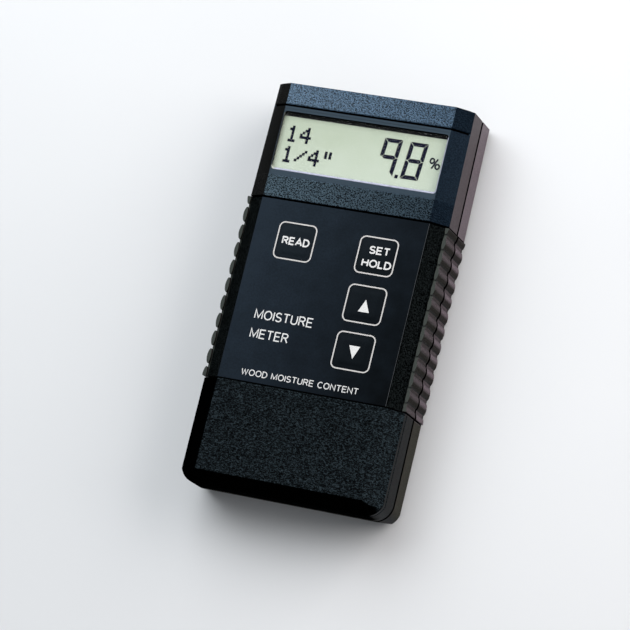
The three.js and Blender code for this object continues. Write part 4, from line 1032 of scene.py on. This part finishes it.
def digit_outlines(segments, left, bottom):
    """Outlines of the lit bars of a seven-segment digit, mitred where bars meet."""
    half = DIGIT_HEIGHT / 2
    stroke, mitre = DIGIT_STROKE, DIGIT_STROKE / 2
    x0, x1 = DIGIT_GAP, DIGIT_WIDTH - DIGIT_GAP
    top = DIGIT_HEIGHT
    bars = {
        "a": [(x0 + stroke, top - stroke), (x1 - stroke, top - stroke), (x1, top), (x0, top)],
        "d": [(x0, 0), (x1, 0), (x1 - stroke, stroke), (x0 + stroke, stroke)],
        "g": [
            (x0 + mitre, half), (x0 + stroke, half - mitre), (x1 - stroke, half - mitre),
            (x1 - mitre, half), (x1 - stroke, half + mitre), (x0 + stroke, half + mitre),
        ],
    }
    for upper, lower, outer, inward in (("f", "e", 0, 1), ("b", "c", DIGIT_WIDTH, -1)):
        middle = outer + inward * mitre
        inner = outer + inward * stroke
        y0, y1 = half + DIGIT_GAP, top - DIGIT_GAP
        bars[upper] = [
            (outer, y1), (outer, y0), (middle, y0), (inner, y0 + mitre), (inner, y1 - stroke),
        ]
        y0, y1 = DIGIT_GAP, half - DIGIT_GAP
        bars[lower] = [
            (outer, y1), (middle, y1), (inner, y1 - mitre), (inner, y0 + stroke), (outer, y0),
        ]
    return [[(left + x + DIGIT_SLANT * y, bottom + y) for x, y in bars[bar]] for bar in segments]


def segment_piece(name, outlines):
    """Dark bars on the glass, and the soft shade they throw on the reflector just below."""
    bars = slab_mesh(name, outlines, SEGMENT_Z, SEGMENT_Z + SEGMENT_HEIGHT)
    add_object(name, bars, segment_ink, CASE)
    shift_x, shift_y = SHADE_SHIFT
    moved = [[(x + shift_x, y + shift_y) for x, y in outline] for outline in outlines]
    shade = slab_mesh(name + "_shade", moved, SHADE_Z, SHADE_Z + SHADE_HEIGHT)
    add_object(name + "_shade", shade, segment_painted_shadow, CASE)


segment_piece("lcd_text_upper", dot_text("14", -27.65, 55.75))
segment_piece("lcd_text_lower", dot_text('1/4"', -27.65, 48.45))
segment_piece("lcd_digit_tens", digit_outlines("abcfg", 6.4, 43.4))
segment_piece("lcd_digit_ones", digit_outlines("abcdefg", 15.6, 43.3))
segment_piece("lcd_point", [rectangle(13.7, 43.1, 14.8, 44.3)])
lettering("lcd_percent", "%", (26.5, 50.0), 4.1, 4.0, 0.55, SEGMENT_Z, segment_ink, CASE)

# Black strip along the top of the glass: partly a printed border, partly painted shadow from the rim above
# it.
STRIP_LOW = 58.85
STRIP = rectangle(lcd_low[0], STRIP_LOW, lcd_high[0], lcd_high[1])
strip = slab_mesh("lcd_top_strip", [STRIP], SHADE_Z, SEGMENT_Z)
add_object("lcd_top_strip", strip, border_ink_and_shadow, CASE)

# ------------------------------------------------------------------ display rim

# Moulded rim inside the view opening, wider below and narrow on the right.
VIEW_CENTRE = ((VIEW_LEFT + VIEW_RIGHT) / 2, (VIEW_LOWER + VIEW_UPPER) / 2)
VIEW_HALF = ((VIEW_RIGHT - VIEW_LEFT) / 2, (VIEW_UPPER - VIEW_LOWER) / 2)
VIEW_CORNER = 1.2
RIM_RIGHT = 0.55
RIM_LOWER = 0.85
RIM_BOTTOM = window_high[2] + 0.02
RIM_TOP = FACE_TOP - 0.2
RIM_FIT = 0.03         # gap between the rim and the shell
RIM_ROUNDING = 0.4     # how much smaller the corner radius is inside than outside
# Share of the rim's width and the height, at points round its cross-section.
RIM_SECTION = [
    (0.0, RIM_BOTTOM),
    (1.0, RIM_BOTTOM),
    (0.85, RIM_BOTTOM + 0.28),
    (0.45, RIM_TOP - 0.1),
    (0.0, RIM_TOP),
]


def rim_outline(share, z):
    """Outline of the opening, its right and lower sides pulled in by `share` of the rim's width."""
    pull_x = RIM_RIGHT * share
    pull_y = RIM_LOWER * share
    centre = (VIEW_CENTRE[0] - pull_x / 2, VIEW_CENTRE[1] + pull_y / 2)
    half = (VIEW_HALF[0] - pull_x / 2 - RIM_FIT, VIEW_HALF[1] - pull_y / 2 - RIM_FIT)
    return at_height(rounded_points(*centre, *half, VIEW_CORNER - RIM_ROUNDING * share), z)


rim_mesh = ring_mesh("display_rim", [rim_outline(share, z) for share, z in RIM_SECTION])
for face in rim_mesh.polygons:
    face.use_smooth = True
add_object("display_rim", rim_mesh, rim_plastic, CASE)

# ------------------------------------------------------------------ floor, light, camera

FLOOR_REACH = 3.0     # metres
FLOOR_DROP = 0.2 * MM  # keeps the floor clear of the case's rear face
WORLD_COLOUR = (0.84, 0.85, 0.87, 1)
WORLD_BRIGHT_SIDE = (0.55, 0.62, 0.56)
WORLD_STRENGTH = (0.12, 0.5)
WORLD_SPREAD = (-0.5, 0.9)      # from the dim side to the bright side

floor_mesh = bpy.data.meshes.new("floor")
floor_corners = [(x, y, 0) for x, y in rectangle(-FLOOR_REACH, -FLOOR_REACH, FLOOR_REACH, FLOOR_REACH)]
floor_mesh.from_pydata(floor_corners, [], [(0, 1, 2, 3)])
floor = bpy.data.objects.new("floor", floor_mesh)
floor.location.z = -FLOOR_DROP
bpy.context.scene.collection.objects.link(floor)
floor_mesh.materials.append(floor_material())


def studio_world():
    """Soft surrounding light, brighter above, behind and to the right than to the left and in front."""
    world = bpy.data.worlds.new("studio")
    world.use_nodes = True
    tree = world.node_tree
    background = tree.nodes["Background"]
    background.inputs["Color"].default_value = WORLD_COLOUR
    coords = tree.nodes.new("ShaderNodeTexCoord")
    dot = tree.nodes.new("ShaderNodeVectorMath")
    dot.operation = "DOT_PRODUCT"
    dot.inputs[1].default_value = WORLD_BRIGHT_SIDE
    ramp = tree.nodes.new("ShaderNodeMapRange")
    ramp.interpolation_type = "SMOOTHSTEP"
    ramp.inputs["From Min"].default_value = WORLD_SPREAD[0]
    ramp.inputs["From Max"].default_value = WORLD_SPREAD[1]
    ramp.inputs["To Min"].default_value = WORLD_STRENGTH[0]
    ramp.inputs["To Max"].default_value = WORLD_STRENGTH[1]
    tree.links.new(coords.outputs["Generated"], dot.inputs[0])
    tree.links.new(dot.outputs["Value"], ramp.inputs["Value"])
    tree.links.new(ramp.outputs["Result"], background.inputs["Strength"])
    bpy.context.scene.world = world


def soft_light(name, place, target, size, power, colour):
    """Rectangular light facing its target; places and size in metres, power in watts."""
    data = bpy.data.lights.new(name, "AREA")
    data.shape = "RECTANGLE"
    data.size, data.size_y = size
    data.energy = power
    data.color = colour
    obj = bpy.data.objects.new(name, data)
    obj.location = place
    obj.rotation_mode = "QUATERNION"
    obj.rotation_quaternion = (Vector(target) - Vector(place)).to_track_quat("-Z", "Y")
    bpy.context.scene.collection.objects.link(obj)


studio_world()
soft_light("key_light", (-0.34, 0.52, 0.68), (0, 0.02, 0), (1.0, 1.0), 9.5, (0.97, 0.99, 1.0))
soft_light("side_light", (0.66, 0.36, 0.30), (0.03, 0, 0.01), (0.8, 0.7), 9, (1.0, 0.94, 0.91))

# The camera looks down on the meter from its lower right, turned so that the case leans right.
CAMERA_FOCAL_PX = 3387.0
IMAGE_PX = 630.0
SENSOR_MM = 36.0
CAMERA_PLACE = (0.394762, -0.214831, 1.055279)
CAMERA_AXES = (
    (0.92214, 0.23524, -0.30712),
    (-0.15921, 0.95430, 0.25291),
    (0.35258, -0.18433, 0.91745),
)
camera_data = bpy.data.cameras.new("camera")
camera_data.sensor_width = SENSOR_MM
camera_data.lens = SENSOR_MM * CAMERA_FOCAL_PX / IMAGE_PX
camera_data.clip_start = 0.05
camera_data.clip_end = 20.0
camera = bpy.data.objects.new("camera", camera_data)
axes = Matrix(CAMERA_AXES).transposed().to_4x4()
camera.matrix_world = Matrix.Translation(CAMERA_PLACE) @ axes
bpy.context.scene.collection.objects.link(camera)
bpy.context.scene.camera = camera
bpy.context.scene.view_settings.view_transform = "Standard"
